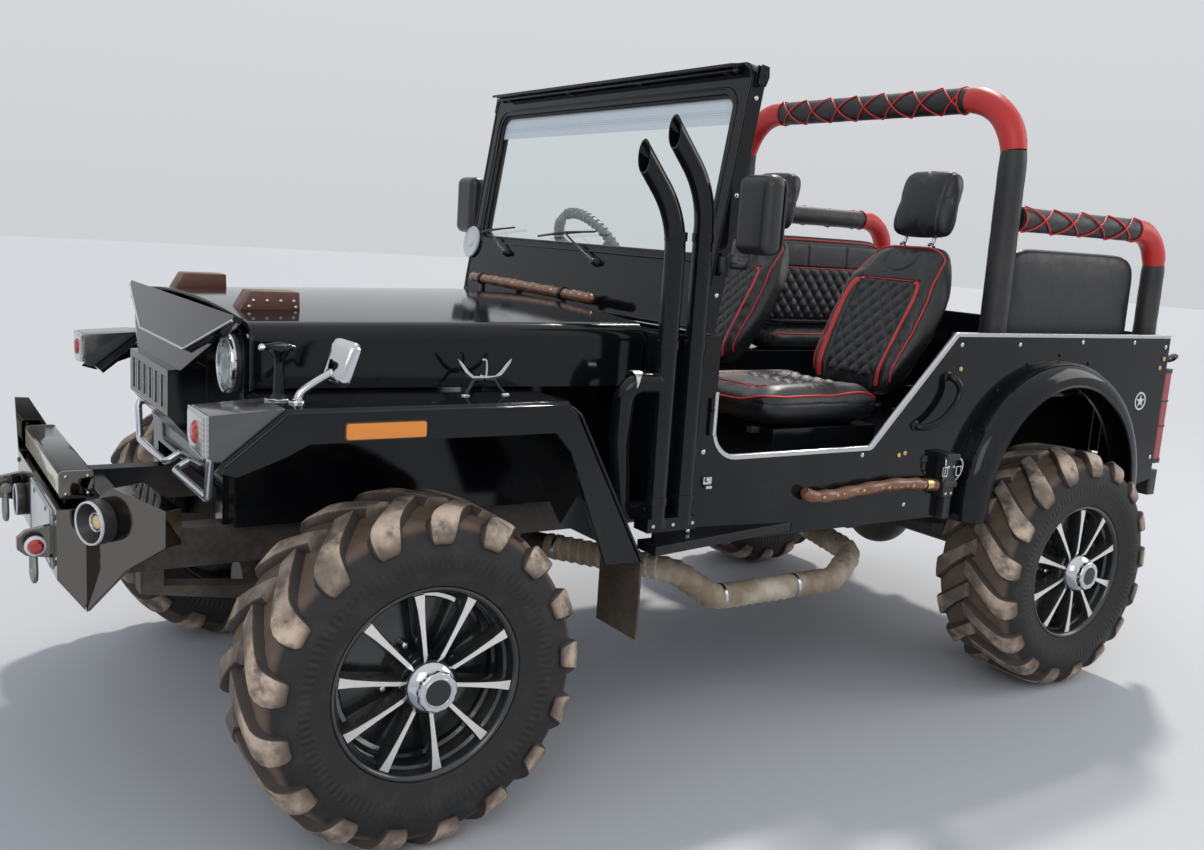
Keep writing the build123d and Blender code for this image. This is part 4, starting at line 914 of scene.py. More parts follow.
hoop_vinyl = leather_finish("black_sleeve_vinyl", (0.014, 0.015, 0.018, 1), 0.3, 700, (0.42, 0.6))
main_path = bent_line([(HOOP_X, HOOP_Y, WHEEL_BOX_TOP), (HOOP_X, HOOP_Y, HOOP_Z), (-HOOP_X, HOOP_Y, HOOP_Z),
                       (-HOOP_X, HOOP_Y, WHEEL_BOX_TOP)], HOOP_BEND)
side_path = bent_line([(HOOP_X, HOOP_Y + HOOP_R + 0.001, SIDE_Z), (HOOP_X, SIDE_REAR, SIDE_Z),
                       (HOOP_X, SIDE_REAR, WHEEL_BOX_TOP)], SIDE_BEND)
# Columns: name, replaced node, line, radius, where it is red, whether it has a twin
for name, node, path, r, is_red, pair in (
        ("main_hoop", "main_hoop", main_path, HOOP_R, lambda p: abs(p.x) > 0.440 and p.z > 1.735, False),
        ("side_hoop", "side_hoops", side_path, SIDE_R, lambda p: p.y > 2.725 and p.z > 1.395, True)):
    parts = list(enumerate(runs(path, is_red)))
    for colour, wanted, extra, finish in (("sleeves", False, 0, hoop_vinyl), ("bends", True, 0.0004, red_leather)):
        shapes = [sleeve(points, r + extra, i) for i, (red, points) in parts if red == wanted]
        made = fit_piece(f"{name}_{colour}", shapes, finish, crease=50, pair=pair, node=node)
main_lace = lace((-0.430, HOOP_Y, HOOP_Z), (0.436, HOOP_Y, HOOP_Z), math.radians(-6), HOOP_R, 0.130, 0.069, (0, -1, 0))
side_lace = lace((HOOP_X, 2.075, SIDE_Z), (HOOP_X, 2.700, SIDE_Z), 0.0, SIDE_R, 0.146, 0.091, (1, 0, 0))
side_cords = joined([side_lace] + [ring_cord(HOOP_X, y, SIDE_Z, SIDE_R, 90) for y in (2.078, 2.706)])
main_rings = [ring_cord(x, HOOP_Y, HOOP_Z, HOOP_R) for x in (0.436, -0.430)]
fit_piece("hoop_lacing", [main_lace] + main_rings + [both_sides(side_cords)], red_piping, crease=60)

# Windscreen.
# A raked steel frame sprayed gloss black round flat laminated glass, held in a rubber seal; a pale
# perforated sun strip is stuck across the top, and two wipers pivot on the deep foot panel.
SCREEN_PLACE = shifted(0, 0.812, 1.155) @ turned(-8.7)
ALONG_Y, ALONG_Z, TO_REAR = turned(-90, "Z"), turned(-90, "Y"), turned(90, "Z")


def prism(outline, low, high, axis="x"):
    """An outline thickened along an axis; its points name the other two axes in order."""
    spots = {"x": lambda a, b, t: (t, a, b), "y": lambda a, b, t: (a, t, b), "z": lambda a, b, t: (a, b, t)}[axis]
    return skin([[spots(a, b, t) for a, b in outline] for t in (low, high)])


def rounded(half_a, half_b, r, centre=(0, 0), steps=6):
    """The outline of a rectangle with round corners."""
    points = []
    for corner, (a, b) in enumerate(((1, 1), (-1, 1), (-1, -1), (1, -1))):
        for i in range(steps + 1):
            angle = math.pi / 2 * (corner + i / steps)
            points.append((centre[0] + a * (half_a - r) + r * math.cos(angle),
                           centre[1] + b * (half_b - r) + r * math.sin(angle)))
    return points


def slab(half_a, half_b, r, centre, low, high, axis="x"):
    return prism(rounded(half_a, half_b, r, centre), low, high, axis)


def strip(a, b, low, high, axis="x"):
    """A square-cut strip between two limits on each axis."""
    return prism([(a[0], b[0]), (a[1], b[0]), (a[1], b[1]), (a[0], b[1])], low, high, axis)


def ring_of(half_a, half_b, r, centre, y, radius, sides=10):
    """A round bead along a rounded rectangle that stands across the vehicle."""
    return tube([Vector((a, y, b)) for a, b in rounded(half_a, half_b, r, centre)], radius, sides, closed=True)


def collar(half, inner, outer, steps):
    return lathe([(-half, inner), (-half, outer), (half, outer), (half, inner)], steps, closed=True)


def peg(low, high, r, steps):
    return lathe([(low, 0), (low, r), (high, r), (high, 0)], steps)


def button(r, high, steps=24):
    """A low domed head along x, its foot at 0."""
    return lathe([(0, 0), (0, r), (high * 0.45, r), (high * 0.8, r * 0.8), (high, r * 0.35), (high, 0)], steps)


def set_at(shape, spots, turn=Matrix()):
    """Copies of a form at points."""
    return [placed(shape, shifted(*spot) @ turn) for spot in spots]


def moulded(name, colour, rough, amount=0.3, grain=(700, 0.00012)):
    """Moulded plastic or rubber with a fine grain and dust."""
    return coated_metal(name, colour, TAN_DUST, amount, 1.6, rough, grain)


black_plastic = moulded("black_moulded_plastic", (0.014, 0.015, 0.017, 1), 0.34)
seal_rubber = moulded("black_seal_rubber", (0.010, 0.010, 0.010, 1), 0.62, 0.4)
disc_white = moulded("pale_disc_enamel", (0.66, 0.68, 0.69, 1), 0.25, 0.15)
clear_glass, tree, shader = start_finish("windscreen_clear_glass")
ripple, grain = noise_bump(tree, 3.0, 0.0006, 2)
wire(tree, shader, {"Base Color": (0.90, 0.95, 0.94, 1), "Transmission Weight": 1.0, "IOR": 1.45, "Normal": ripple,
                    "Roughness": varied(tree, grain, 0.0, 0.012)})
passed = add(tree, "BsdfTransparent", {"Color": (0.88, 0.92, 0.91, 1)}).outputs[0]
in_shadow = add(tree, "LightPath").outputs["Is Shadow Ray"]
chosen = add(tree, "MixShader", {0: in_shadow, 1: shader.outputs[0], 2: passed})
tree.links.new(chosen.outputs[0], tree.nodes["Material Output"].inputs["Surface"])
paint_nodes(clear_glass, "windscreen_glass")

sun_film, tree, shader = start_finish("perforated_sun_film")
holes = span(tree, texture(tree, "Voronoi", {"Scale": 170, "Randomness": 0.0}), 0.28, 0.34, 0.25, 1)
wire(tree, shader, {"Base Color": blend(tree, holes, (0.30, 0.34, 0.38, 1), (0.66, 0.72, 0.76, 1)), "Roughness": 0.4})

GLASS_MID = (0, 0.409)
seal = [ring_of(0.637, 0.210, 0.042, GLASS_MID, y, 0.006) for y in (0.011, 0.031)]
fit_piece("screen_seal", seal, seal_rubber, crease=60, place=SCREEN_PLACE)
fit_piece("sun_strip", slab(0.634, 0.036, 0.004, (0, 0.581), 0.0168, 0.0176, "y"), sun_film, place=SCREEN_PLACE)
beads = [ring_of(0.655, 0.228, 0.058, GLASS_MID, 0.0, 0.0035), ring_of(0.692, 0.342, 0.040, (0, 0.350), 0.0, 0.004)]
rod_end = lathe([(0, 0), (0, 0.007), (0.004, 0.010), (0.012, 0.010), (0.016, 0.006), (0.016, 0)], 20)
rod = [tube([(-0.675, -0.012, 0.678), (0.640, -0.012, 0.678)], 0.0055, 12)] + set_at(rod_end, [(0.636, -0.012, 0.678)])
clips = [slab(0.010, 0.007, 0.003, (x, -0.006), 0.670, 0.686, "z") for x in (-0.60, -0.2, 0.2, 0.60)]
cheek = [(0.006, 0.640), (0.030, 0.640), (0.036, 0.665), (0.030, 0.690), (0.006, 0.690)]
bracket = joined([prism(cheek, x, x + 0.004) for x in (0.701, 0.716)]
                 + set_at(peg(0, 0.024, 0.006, 16), [(0.698, 0.020, 0.668)]))
fit_piece("screen_frame_trim", beads + rod + clips + [bracket, mirrored(bracket)], gloss_black, crease=40,
          place=SCREEN_PLACE)
post_bolts = []
for x in (-0.70, 0.70):
    post_bolts += set_at(button(0.0065, 0.005), [(x, 0.021, z) for z in (0.610, 0.36, 0.10)], turned(180 if x < 0 else 0, "Z"))
fit_piece("screen_post_bolts", post_bolts, chrome, place=SCREEN_PLACE)


def wiper(pivot, tip, blade):
    """An arm from its pivot to its tip with a blade across it; points are (x, z) in the screen's plane."""
    (px, pz), (tx, tz), ((ax, az), (bx, bz)) = pivot, tip, blade
    elbow = (px * 0.7 + tx * 0.3, -0.020, pz * 0.7 + tz * 0.3)
    arm = tube([(px, -0.016, pz), elbow, (tx, -0.012, tz)], [0.0055, 0.0045, 0.003], 10)
    boss = lathe([(-0.002, 0), (-0.002, 0.014), (0.008, 0.013), (0.014, 0.009), (0.022, 0.008), (0.024, 0)], 20)
    back = tube([(ax, -0.006, az), (tx, -0.010, tz), (bx, -0.006, bz)], 0.0035, 8)
    lip = tube([(ax, -0.001, az + 0.002), (bx, -0.001, bz + 0.002)], 0.0022, 6)
    return [arm] + set_at(boss, [(px, 0, pz)], ALONG_Y) + [back, lip]


wipers = wiper((0.141, 0.150), (-0.060, 0.232), ((-0.225, 0.214), (0.105, 0.240)))
wipers += wiper((-0.42, 0.150), (-0.56, 0.222), ((-0.63, 0.212), (-0.40, 0.236)))
fit_piece("screen_wipers", wipers, black_plastic, crease=40, place=SCREEN_PLACE)
disc = lathe([(0, 0), (0, 0.052), (0.004, 0.055), (0.009, 0.055), (0.011, 0.052), (0.009, 0.049), (0.0085, 0.020),
              (0.011, 0.018), (0.012, 0.0)], 48)
fit_piece("hinge_cover_disc", set_at(disc, [(-0.690, -0.001, 0.176)], ALONG_Y), disc_white, place=SCREEN_PLACE)

# Outside mirrors and stacks.
# Black moulded mirror heads on bent arms clamped to the screen posts, with flat glass behind; the two
# gloss black stack pipes are held to the body side by clamp bands with through bolts.
mirror_glass = chromed("silvered_mirror_glass", (0.80, 0.83, 0.85, 1), 0.12, 2.0, 0.02, (20, 0.00002))
MIRROR_AT = (0.808, 1.460)
fit_piece("mirror_glasses", slab(0.055, 0.086, 0.022, MIRROR_AT, 0.9085, 0.9112, "y"), mirror_glass, pair=True)
mirror_trim = [ring_of(0.058, 0.089, 0.024, MIRROR_AT, 0.9095, 0.0035)]
mirror_trim += set_at(peg(-0.016, 0.016, 0.014, 24), [(0.800, 0.880, 1.356)], ALONG_Z)
mirror_trim += [slab(0.020, 0.022, 0.005, (0.866, 1.330), 0.700, 0.726), slab(0.012, 0.030, 0.005, (0.866, 1.330), 0.724, 0.734)]
fit_piece("mirror_rims_and_clamps", mirror_trim, black_plastic, crease=40, roundness=0.0008, pair=True)
paint_nodes(black_plastic, "mirrors")

STACK_X, STACK_Y = 0.761, (0.660, 0.744)
STACK_R, STACK_BORE = 0.026, 0.023
CLAMP_Z = (0.735, 1.130)


def stack_pipe(y, bend_z):
    """An upright pipe that sweeps forwards and ends in a slash cut, hollow at its mouth."""
    tip = Vector((STACK_X, y - 0.110, bend_z + 0.135))
    path = bent_line([(STACK_X, y, 0.665), (STACK_X, y, bend_z), tip], 0.24, 0.012)
    angles = [math.tau * k / 36 for k in range(36)]
    outer, inner = [], []
    for i, centre in enumerate(path[:-1]):
        along = (path[i + 1] - path[max(i - 1, 0)]).normalized()
        if centre.y < tip.y + 0.030:
            break
        for rings, r in ((outer, STACK_R), (inner, STACK_BORE)):
            rings.append([centre + Vector((r * math.cos(a), 0, 0)) + along.cross(Vector((r * math.sin(a), 0, 0)))
                          for a in angles])
    for rings in (outer, inner):
        rings.append([point + along * ((tip.y - point.y) / along.y) for point in rings[-1]])
    return skin(outer + list(reversed(inner[-5:])))


inlet = [(0.758, 0.660, 1.032), (0.735, 0.560, 1.032), (0.712, 0.566, 0.880), (0.690, 0.600, 0.690), (0.690, 0.6917, 0.690)]
stacks = [stack_pipe(STACK_Y[0], 1.440), stack_pipe(STACK_Y[1], 1.505), tube(bent_line(inlet, 0.046), 0.027, 32),
          strip((0.625, 0.777), (0.655, 0.690), 0.7203, 0.7810)]
fit_piece("stack_pipes_and_inlet", stacks, gloss_black, crease=40, node="stack_pipes")
band = collar(0.011, 0.0262, 0.0285, 40)
clamps = set_at(band, [(STACK_X, y, z) for y in STACK_Y for z in CLAMP_Z + (1.395,)], ALONG_Z)
clamps += [slab(0.030, 0.009, 0.003, (0.702, z), 0.7205, 0.738) for z in CLAMP_Z]
fit_piece("stack_clamp_bands", clamps, gloss_black, crease=40)
stack_bolts = set_at(button(0.0055, 0.005, 6), [(0.738, 0.702, z) for z in CLAMP_Z])
stack_bolts += set_at(button(0.006, 0.005, 6), [(0.7812, y, 0.672) for y in (0.640, 0.702, 0.764)])
stack_bolts += set_at(collar(0.012, 0.0272, 0.031, 40), [(0.735, 0.585, 1.032)], ALONG_Y)
fit_piece("stack_bolts", stack_bolts, brushed_steel)

# Bonnet.
# One pressed and crowned sheet with rolled edges, sprayed gloss black; two leather-faced rest blocks with
# round studs sit on its front, where the folded windscreen lands.
BONNET_FRONT, BONNET_REAR = -0.306, 0.686


def bonnet_section(y, inset):
    """Half outline from the left foot over the crown, mirrored to the right foot."""
    share = (y - BONNET_FRONT) / (BONNET_REAR - BONNET_FRONT)
    half = 0.550 + 0.070 * share - inset
    edge = 1.172 + 0.018 * share - inset - 0.022
    r = 0.042
    points = [(half, 1.006), (half, edge - r - 0.03)]
    points += [(half - r + r * math.cos(a), edge - r + r * math.sin(a)) for a in (math.pi / 2 * i / 8 for i in range(9))]
    points += [((half - r) * (1 - i / 9), edge + 0.022 * (1 - (1 - i / 9) ** 2)) for i in range(1, 10)]
    return points + [(-x, z) for x, z in reversed(points[:-1])]


rings = []
for i in range(13):
    y = BONNET_FRONT + (BONNET_REAR - BONNET_FRONT) * i / 12
    outline = bonnet_section(y, 0.0) + bonnet_section(y, 0.008)[::-1]
    rings.append([(x, y, z) for x, z in outline])
lid = [skin(rings)]
for x in (-0.350, 0.350):
    lid += set_at(collar(0.018, 0.0065, 0.012, 32), [(x, 0.700, 1.166)])
    lid.append(strip((0.674, 0.701), (1.1715, 1.1777), x - 0.018, x + 0.018))
fit_piece("bonnet_sheet", lid, gloss_black, "bonnet_lid", crease=40, node="bonnet")
hem = tube([Vector((x, BONNET_FRONT + 0.004, z - 0.0045)) for x, z in bonnet_section(BONNET_FRONT, 0.0)], 0.0045, 8)
fit_piece("bonnet_front_hem", hem, gloss_black, "bonnet_lid", crease=50)

stud_leather = leather_finish("brown_tooled_leather", (0.115, 0.042, 0.022, 1), 0.3, 800, (0.35, 0.55))
rest = prism([(-0.276, 1.1610), (-0.250, 1.206), (-0.136, 1.206), (-0.134, 1.1610)], 0.285, 0.360)
fit_piece("screen_rest_blocks", rest, stud_leather, "bonnet_lid", roundness=0.003, pair=True)
stud_spots = [(-0.245, 1.184), (-0.213, 1.184), (-0.181, 1.184), (-0.150, 1.184), (-0.255, 1.170), (-0.145, 1.170)]
studs = set_at(button(0.0042, 0.003, 16), [(0.3598, y, z) for y, z in stud_spots])
fit_piece("screen_rest_studs", studs, brushed_steel, "bonnet_lid", pair=True)

# Cowl bar.
# A turned wooden bar with brass inlay across the scuttle, held by two black clamps; dark varnish worn
# pale along its crest.
wood = patterned("varnished_brown_wood", "Noise", {"Scale": 5, "Detail": 8, "Roughness": 0.6},
                 ((0.085, 0.026, 0.012, 1), (0.30, 0.115, 0.055, 1)), (0.22, 0.4), (0.5, 0.0004), (TAN_DUST, 0.3, 1.4),
                 {"Coat Weight": 0.3}, stretch=(6, 6, 60))


def turned_bar(start, end, r, swells):
    """A turned grip between two points with shallow swells and round ends."""
    start, end = Vector(start), Vector(end)
    path, radii = [], []
    for share in (i / 60 for i in range(61)):
        end_round = math.sqrt(max(0.02, 1 - max(0.0, (abs(2 * share - 1) - 0.93) / 0.07) ** 2))
        path.append(start.lerp(end, share))
        radii.append(r * end_round * (0.94 + 0.06 * math.cos(math.tau * swells * share)))
    return tube(path, radii, 28)


def aimed(direction):
    """The turn that carries x onto a direction."""
    return Vector((1, 0, 0)).rotation_difference(direction).to_matrix().to_4x4()


def inlay(start, end, r, count, face, size):
    """Small brass studs along a bar, on the side that a direction faces."""
    start, end, face = Vector(start), Vector(end), Vector(face).normalized()
    studs = []
    for i in range(count):
        spot = start.lerp(end, (i + 0.7) / (count + 0.4)) + face * (r - 0.0006)
        studs += set_at(button(size * (1.5 if i % 3 == 1 else 1.0), 0.0022, 12), [spot], aimed(face))
    return studs


bar_ends = ((-0.507, 0.745, 1.216), (0.276, 0.745, 1.203))
BAR_R = 0.0165
fit_piece("cowl_bar", turned_bar(*bar_ends, BAR_R, 9), wood, crease=60)
bar_studs = inlay(*bar_ends, BAR_R, 19, (0.45, -0.8, 0.45), 0.0030) + inlay(*bar_ends, BAR_R, 19, (0.2, -0.3, 0.95), 0.0024)
fit_piece("cowl_bar_inlay", bar_studs, brass)
clamps = []
for x, z in ((-0.422, 1.2146), (0.105, 1.2058)):
    clamps += set_at(collar(0.010, BAR_R, 0.0200, 32), [(x, 0.745, z)])
    clamps.append(strip((0.739, 0.751), (1.148, z - 0.016), x - 0.010, x + 0.010))
    clamps.append(slab(0.022, 0.013, 0.004, (x, 0.745), 1.148, 1.154, "z"))
fit_piece("cowl_bar_clamps", clamps, gloss_black, roundness=0.0008)

# Nose.
# Folded steel nose: the beak's edges and the slots of the radiator box are picked out in bright trim, with
# the radiator's finned core behind; the guard tubes below are painted silver grey.
lean = turned(-math.degrees(math.atan2(0.038, 0.115)))
beak = shifted(0, -0.340, 1.165) @ lean @ shifted(0, 0, -1.165)
bright_lines = []
for x0, z0, x1, z1 in ((0.545, 1.153, 0.245, 1.050), (0.245, 1.050, -0.245, 1.050), (-0.245, 1.050, -0.545, 1.153)):
    bright_lines.append(placed(tube([(x0, -0.0005, z0 + 0.001), (x1, -0.0005, z1 + 0.001)], 0.0032, 8), beak))
for i in range(6):
    for edge in (-0.0187, 0.0187):
        x = (i - 2.5) * 0.44 / 6.6 + edge
        bright_lines.append(strip((x - 0.0012, x + 0.0012), (0.907, 0.985), -0.4068, -0.3300, "y"))
fit_piece("nose_bright_edges", bright_lines, brushed_steel)
core = [strip((x - 0.0006, x + 0.0006), (0.80, 1.0), -0.299, -0.290, "y") for x in (i * 0.006 - 0.204 for i in range(69))]
core += [strip((-0.21, 0.21), (z - 0.003, z + 0.003), -0.292, -0.276, "y") for z in (0.81 + 0.02 * i for i in range(10))]
fit_piece("radiator_core", core, chassis_black)
guard_path = bent_line([(0.400, -0.312, 0.830), (0.400, -0.350, 0.830), (0.378, -0.350, 0.722), (0.050, -0.350, 0.722),
                        (0.050, -0.312, 0.746)], 0.016)
guard_grey = chromed("guard_silver_paint", (0.66, 0.68, 0.71, 1), 0.3, 1.4, 0.2, (300, 0.0002), 0.8)
fit_piece("nose_guard_sleeves", tube(guard_path, 0.0097, 16), guard_grey, crease=60, pair=True)
nose_screws = set_at(button(0.0055, 0.004, 20), [(x, -0.3138, z) for x in (-0.35, 0.35) for z in (0.93, 1.075)], ALONG_Y)
fit_piece("nose_screws", nose_screws, chrome)

# Headlamps.
# Round lamps in the nose panels: silvered bowl, fluted glass lens, bulb and shroud, held by a bright rim.
lens_glass = patterned("fluted_lens_glass", "Wave", {"Scale": 38, "Distortion": 0.6, "Detail": 1}, (0.94, 0.96, 0.95, 1),
                       (0.0, 0.05), (0.8, 0.0012), None, {"Transmission Weight": 1.0, "IOR": 1.45}, bands_direction="X")
reflector = chromed("silvered_reflector", (0.86, 0.87, 0.88, 1), 0.1, 1.0, 0.10, (160, 0.0002))
bowl = lathe([(0.004, 0.063), (0.000, 0.0615), (-0.012, 0.052), (-0.022, 0.036), (-0.029, 0.014), (-0.030, 0.0),
              (-0.032, 0.0), (-0.031, 0.016), (-0.024, 0.040), (-0.014, 0.056), (-0.002, 0.0655), (0.004, 0.066)],
             64, closed=True)
shell = lathe([(0.004, 0.0655), (-0.036, 0.0672), (-0.038, 0.0), (-0.034, 0.0), (-0.033, 0.064), (0.004, 0.064)],
              64, closed=True)
lens = lathe([(0.0105, 0.0), (0.0095, 0.022), (0.0065, 0.045), (0.001, 0.062), (-0.001, 0.062), (0.0040, 0.045),
              (0.0070, 0.022), (0.0080, 0.0)], 64)
bezel = lathe([(-0.004, 0.0672), (0.004, 0.0676), (0.0085, 0.0655), (0.0075, 0.0615), (0.001, 0.0605),
               (-0.002, 0.0615)], 72, closed=True)
bulb = lathe([(-0.030, 0.0), (-0.030, 0.010), (-0.016, 0.010), (-0.014, 0.014), (-0.006, 0.014), (-0.003, 0.009),
              (-0.002, 0.0)], 24)
for name, shape, finish, node in (
        ("bowls", bowl, reflector, None), ("shells", shell, black_plastic, "front_lamps"),
        ("lenses", lens, lens_glass, None), ("bezels", bezel, chrome, None), ("bulbs", bulb, chrome, None)):
    fit_piece("headlamp_" + name, set_at(shape, [(0.450, -0.3275, 1.050)], ALONG_Y), finish,
              crease=30, pair=True, node=node)

# Wing-end lamps.
# Folded grey covers on the front ends of the wings, each with a clear patterned lens in front and a red
# reflector in the middle of it.
cover_grey = coated_metal("lamp_cover_grey", (0.060, 0.060, 0.064, 1), GREY_DUST, 0.5, 1.4, 0.16, (300, 0.00015), coat=0.5)
cover_side = [(-0.452, 0.905), (-0.452, 0.992), (-0.303, 1.002), (-0.303, 0.9984), (-0.425, 0.8994), (-0.440, 0.8994)]
fit_piece("wing_lamp_covers", prism(cover_side, 0.648, 0.792), cover_grey, roundness=0.002, pair=True,
          node="front_lamps")
front = [(0.650, 0.990), (0.789, 0.990), (0.790, 0.908), (0.768, 0.901), (0.672, 0.908), (0.650, 0.930)]
inner_front = [(0.720 + (x - 0.720) * 0.90, 0.948 + (z - 0.948) * 0.86) for x, z in front]
lens_layers = ((-0.452, front), (-0.458, front), (-0.462, inner_front))
cell_glass = patterned("diamond_lens_plastic", "Voronoi", {"Scale": 95, "Randomness": 0.0},
                       ((0.62, 0.60, 0.56, 1), (0.13, 0.125, 0.12, 1)), (0.08, 0.2), (0.9, 0.002), None, {"Coat Weight": 0.8})
fit_piece("wing_lamp_lenses", skin([[(x, y, z) for x, z in outline] for y, outline in lens_layers]), cell_glass,
          roundness=0.001, pair=True)


def lens_plastic(name, colour, amount, rough, peel):
    return coated_metal(name, colour, GREY_DUST, amount, 1.2, rough, peel, coat=0.8)


red_lens = lens_plastic("red_moulded_lens", (0.42, 0.008, 0.010, 1), 0.15, 0.12, (900, 0.0001))
points = []
for i in range(24):
    r = 0.0245 if i % 3 == 0 else 0.0195
    points.append((r * math.sin(math.tau * i / 24), r * math.cos(math.tau * i / 24)))
star = skin([[(0.722 + x * s, y, 0.949 + z * s) for x, z in points]
             for y, s in ((-0.4600, 1.0), (-0.4650, 0.96), (-0.4690, 0.74), (-0.4705, 0.35))])
fit_piece("wing_lamp_reds", star, red_lens, roundness=0.0006, pair=True)
rim = tube([Vector((x, -0.4575, z)) for x, z in front], 0.0022, 8, closed=True)
fit_piece("wing_lamp_rims", rim, chrome, crease=60, pair=True)

# Front bumper.
# A folded steel box polished dark like smoked chrome, with a light bar on two feet, a round lamp set on
# the swept fin, one low on the box, a bare plate holder and bow shackles through the ears.
smoked_chrome = chromed("smoked_chrome_plate", (0.150, 0.138, 0.125, 1), 0.10, 1.2, 0.035, (14, 0.0006))
paint_nodes(smoked_chrome, "front_bumper")
BAR_MID = (-0.617, 0.756)
light_bar = [slab(0.036, 0.031, 0.008, BAR_MID, -0.296, 0.296)]
light_bar += [strip((-0.588, -0.5815), (z - 0.001, z + 0.001), -0.285, 0.285) for z in (0.736 + 0.0075 * i for i in range(6))]
light_bar += [slab(0.019, 0.019, 0.003, (x, BAR_MID[0]), 0.7135, 0.730, "z") for x in (-0.230, 0.230)]
fit_piece("light_bar_body", light_bar, gloss_black, roundness=0.001, node="bumper_lamps")
lens_pale = patterned("light_bar_lens", "Wave", {"Scale": 11, "Distortion": 0.0},
                      ((0.40, 0.33, 0.22, 1), (0.70, 0.60, 0.42, 1)), (0.12, 0.25), (0.5, 0.001), None,
                      {"Coat Weight": 0.6}, bands_direction="X")
fit_piece("light_bar_lens", slab(0.288, 0.022, 0.006, (0, 0.756), -0.6545, -0.640, "y"), lens_pale,
          roundness=0.001)
fit_piece("light_bar_ends", slab(0.037, 0.032, 0.009, BAR_MID, 0.2905, 0.2995), smoked_chrome,
          roundness=0.0015, pair=True)
end_spots = [(0.2990, y, z) for z in (0.776, 0.736) for y in (-0.640, -0.594)]
fit_piece("light_bar_screws", set_at(button(0.004, 0.0025, 12), end_spots), chrome, pair=True)


def spot_lamp(r):
    """Round spot lamp about x, its back at 0: can, pale rim, dark throat and a warm bulb lens."""
    can = lathe([(0, 0), (0, r * 0.96), (0.006, r), (0.030, r), (0.036, r * 0.97), (0.036, r * 0.90), (0.012, r * 0.62),
                 (0.010, 0)], 56)
    rim = lathe([(0.033, r * 0.985), (0.0385, r * 0.965), (0.0395, r * 0.915), (0.037, r * 0.88), (0.033, r * 0.90)], 56, closed=True)
    inner = lathe([(0.0105, r * 0.56), (0.0185, r * 0.50), (0.0215, r * 0.42), (0.0195, r * 0.36), (0.0105, r * 0.34)], 40, closed=True)
    eye = lathe([(0.010, 0), (0.010, r * 0.35), (0.018, r * 0.30), (0.0225, r * 0.16), (0.0235, 0)], 32)
    return can, rim, inner, eye


lens_warm = lens_plastic("warm_bulb_lens", (0.72, 0.55, 0.26, 1), 0.1, 0.15, (500, 0.0002))
fin_place = shifted(0.344, -0.610, 0) @ turned(26, "Z") @ shifted(0.070, -0.0003, 0.697) @ ALONG_Y
box_place = shifted(-0.222, -0.6673, 0.606) @ ALONG_Y @ Matrix.Scale(0.60, 4, (1, 0, 0))
# Columns: name, finish, what kind of material it is, replaced node
rows = (("cans", black_plastic, "body_paint", "bumper_lamps"), ("rims", disc_white, "body_paint", None),
        ("inner_rings", chrome, "body_paint", None), ("bulb_lenses", lens_warm, "lamp_glass", None))
for (name, finish, slot, node), high_shape, low_shape in zip(rows, spot_lamp(0.050), spot_lamp(0.042)):
    fit_piece("spot_lamp_" + name, [placed(high_shape, fin_place), placed(low_shape, box_place)], finish,
              crease=30, node=node)

plate_white = moulded("bare_plate_enamel", (0.60, 0.61, 0.60, 1), 0.35, 0.6)
PLATE_AT = (0.114, 0.630)
fit_piece("bare_number_plate", slab(0.176, 0.070, 0.010, PLATE_AT, -0.6672, -0.6705, "y"), plate_white, roundness=0.0008)
plate_edge = [ring_of(0.172, 0.066, 0.008, PLATE_AT, -0.6708, 0.0016)]
plate_edge += set_at(button(0.006, 0.003, 16), [(x, -0.6704, 0.684) for x in (0.02, 0.208)], ALONG_Y)
fit_piece("plate_rim_and_screws", plate_edge, cover_grey)

shackle_steel = chromed("galvanised_shackle", (0.30, 0.30, 0.29, 1), 0.5, 1.2, 0.4, (260, 0.0003), 0.9)
BORE_PLACE = shifted(0.285, -0.706, 0.628)
bow_half = [(-0.021, 0, 0.0), (-0.021, 0, -0.030), (-0.034, 0, -0.088)]
shackle = [tube(bent_line(mirror_line(bow_half, shared=0), 0.024, 0.006), 0.0065, 12)]
shackle += [peg(x - 0.006, x + 0.006, 0.014, 24) for x in (-0.021, 0.021)] + [peg(-0.028, 0.028, 0.0102, 24)]
fit_piece("bow_shackles", shackle, shackle_steel, crease=40, place=BORE_PLACE, pair=True)
knob = lathe([(0.027, 0), (0.027, 0.020), (0.033, 0.023), (0.040, 0.022), (0.043, 0.018), (0.040, 0.0)], 36)
fit_piece("shackle_knobs", knob, disc_white, place=BORE_PLACE, pair=True)
dome = lathe([(0.0395, 0), (0.0395, 0.0175), (0.046, 0.0165), (0.052, 0.011), (0.054, 0.0)], 36)
fit_piece("shackle_knob_caps", dome, red_lens, place=BORE_PLACE, pair=True)
box_bolts = set_at(button(0.007, 0.005, 6), [(x, -0.667, z) for x in (-0.325, 0.322) for z in (0.585, 0.690)], ALONG_Y)
fit_piece("bumper_bolts", box_bolts, smoked_chrome)

# Wings.
# Folded wing tops with a rolled bead along the outer edge; an amber marker on the skirt, a plated bonnet
# catch, a spread-wing toggle and a small plated mirror stand on each.
def bent_rod(points, steps, radius, sides):
    return tube(smooth_path(points, steps), radius, sides)


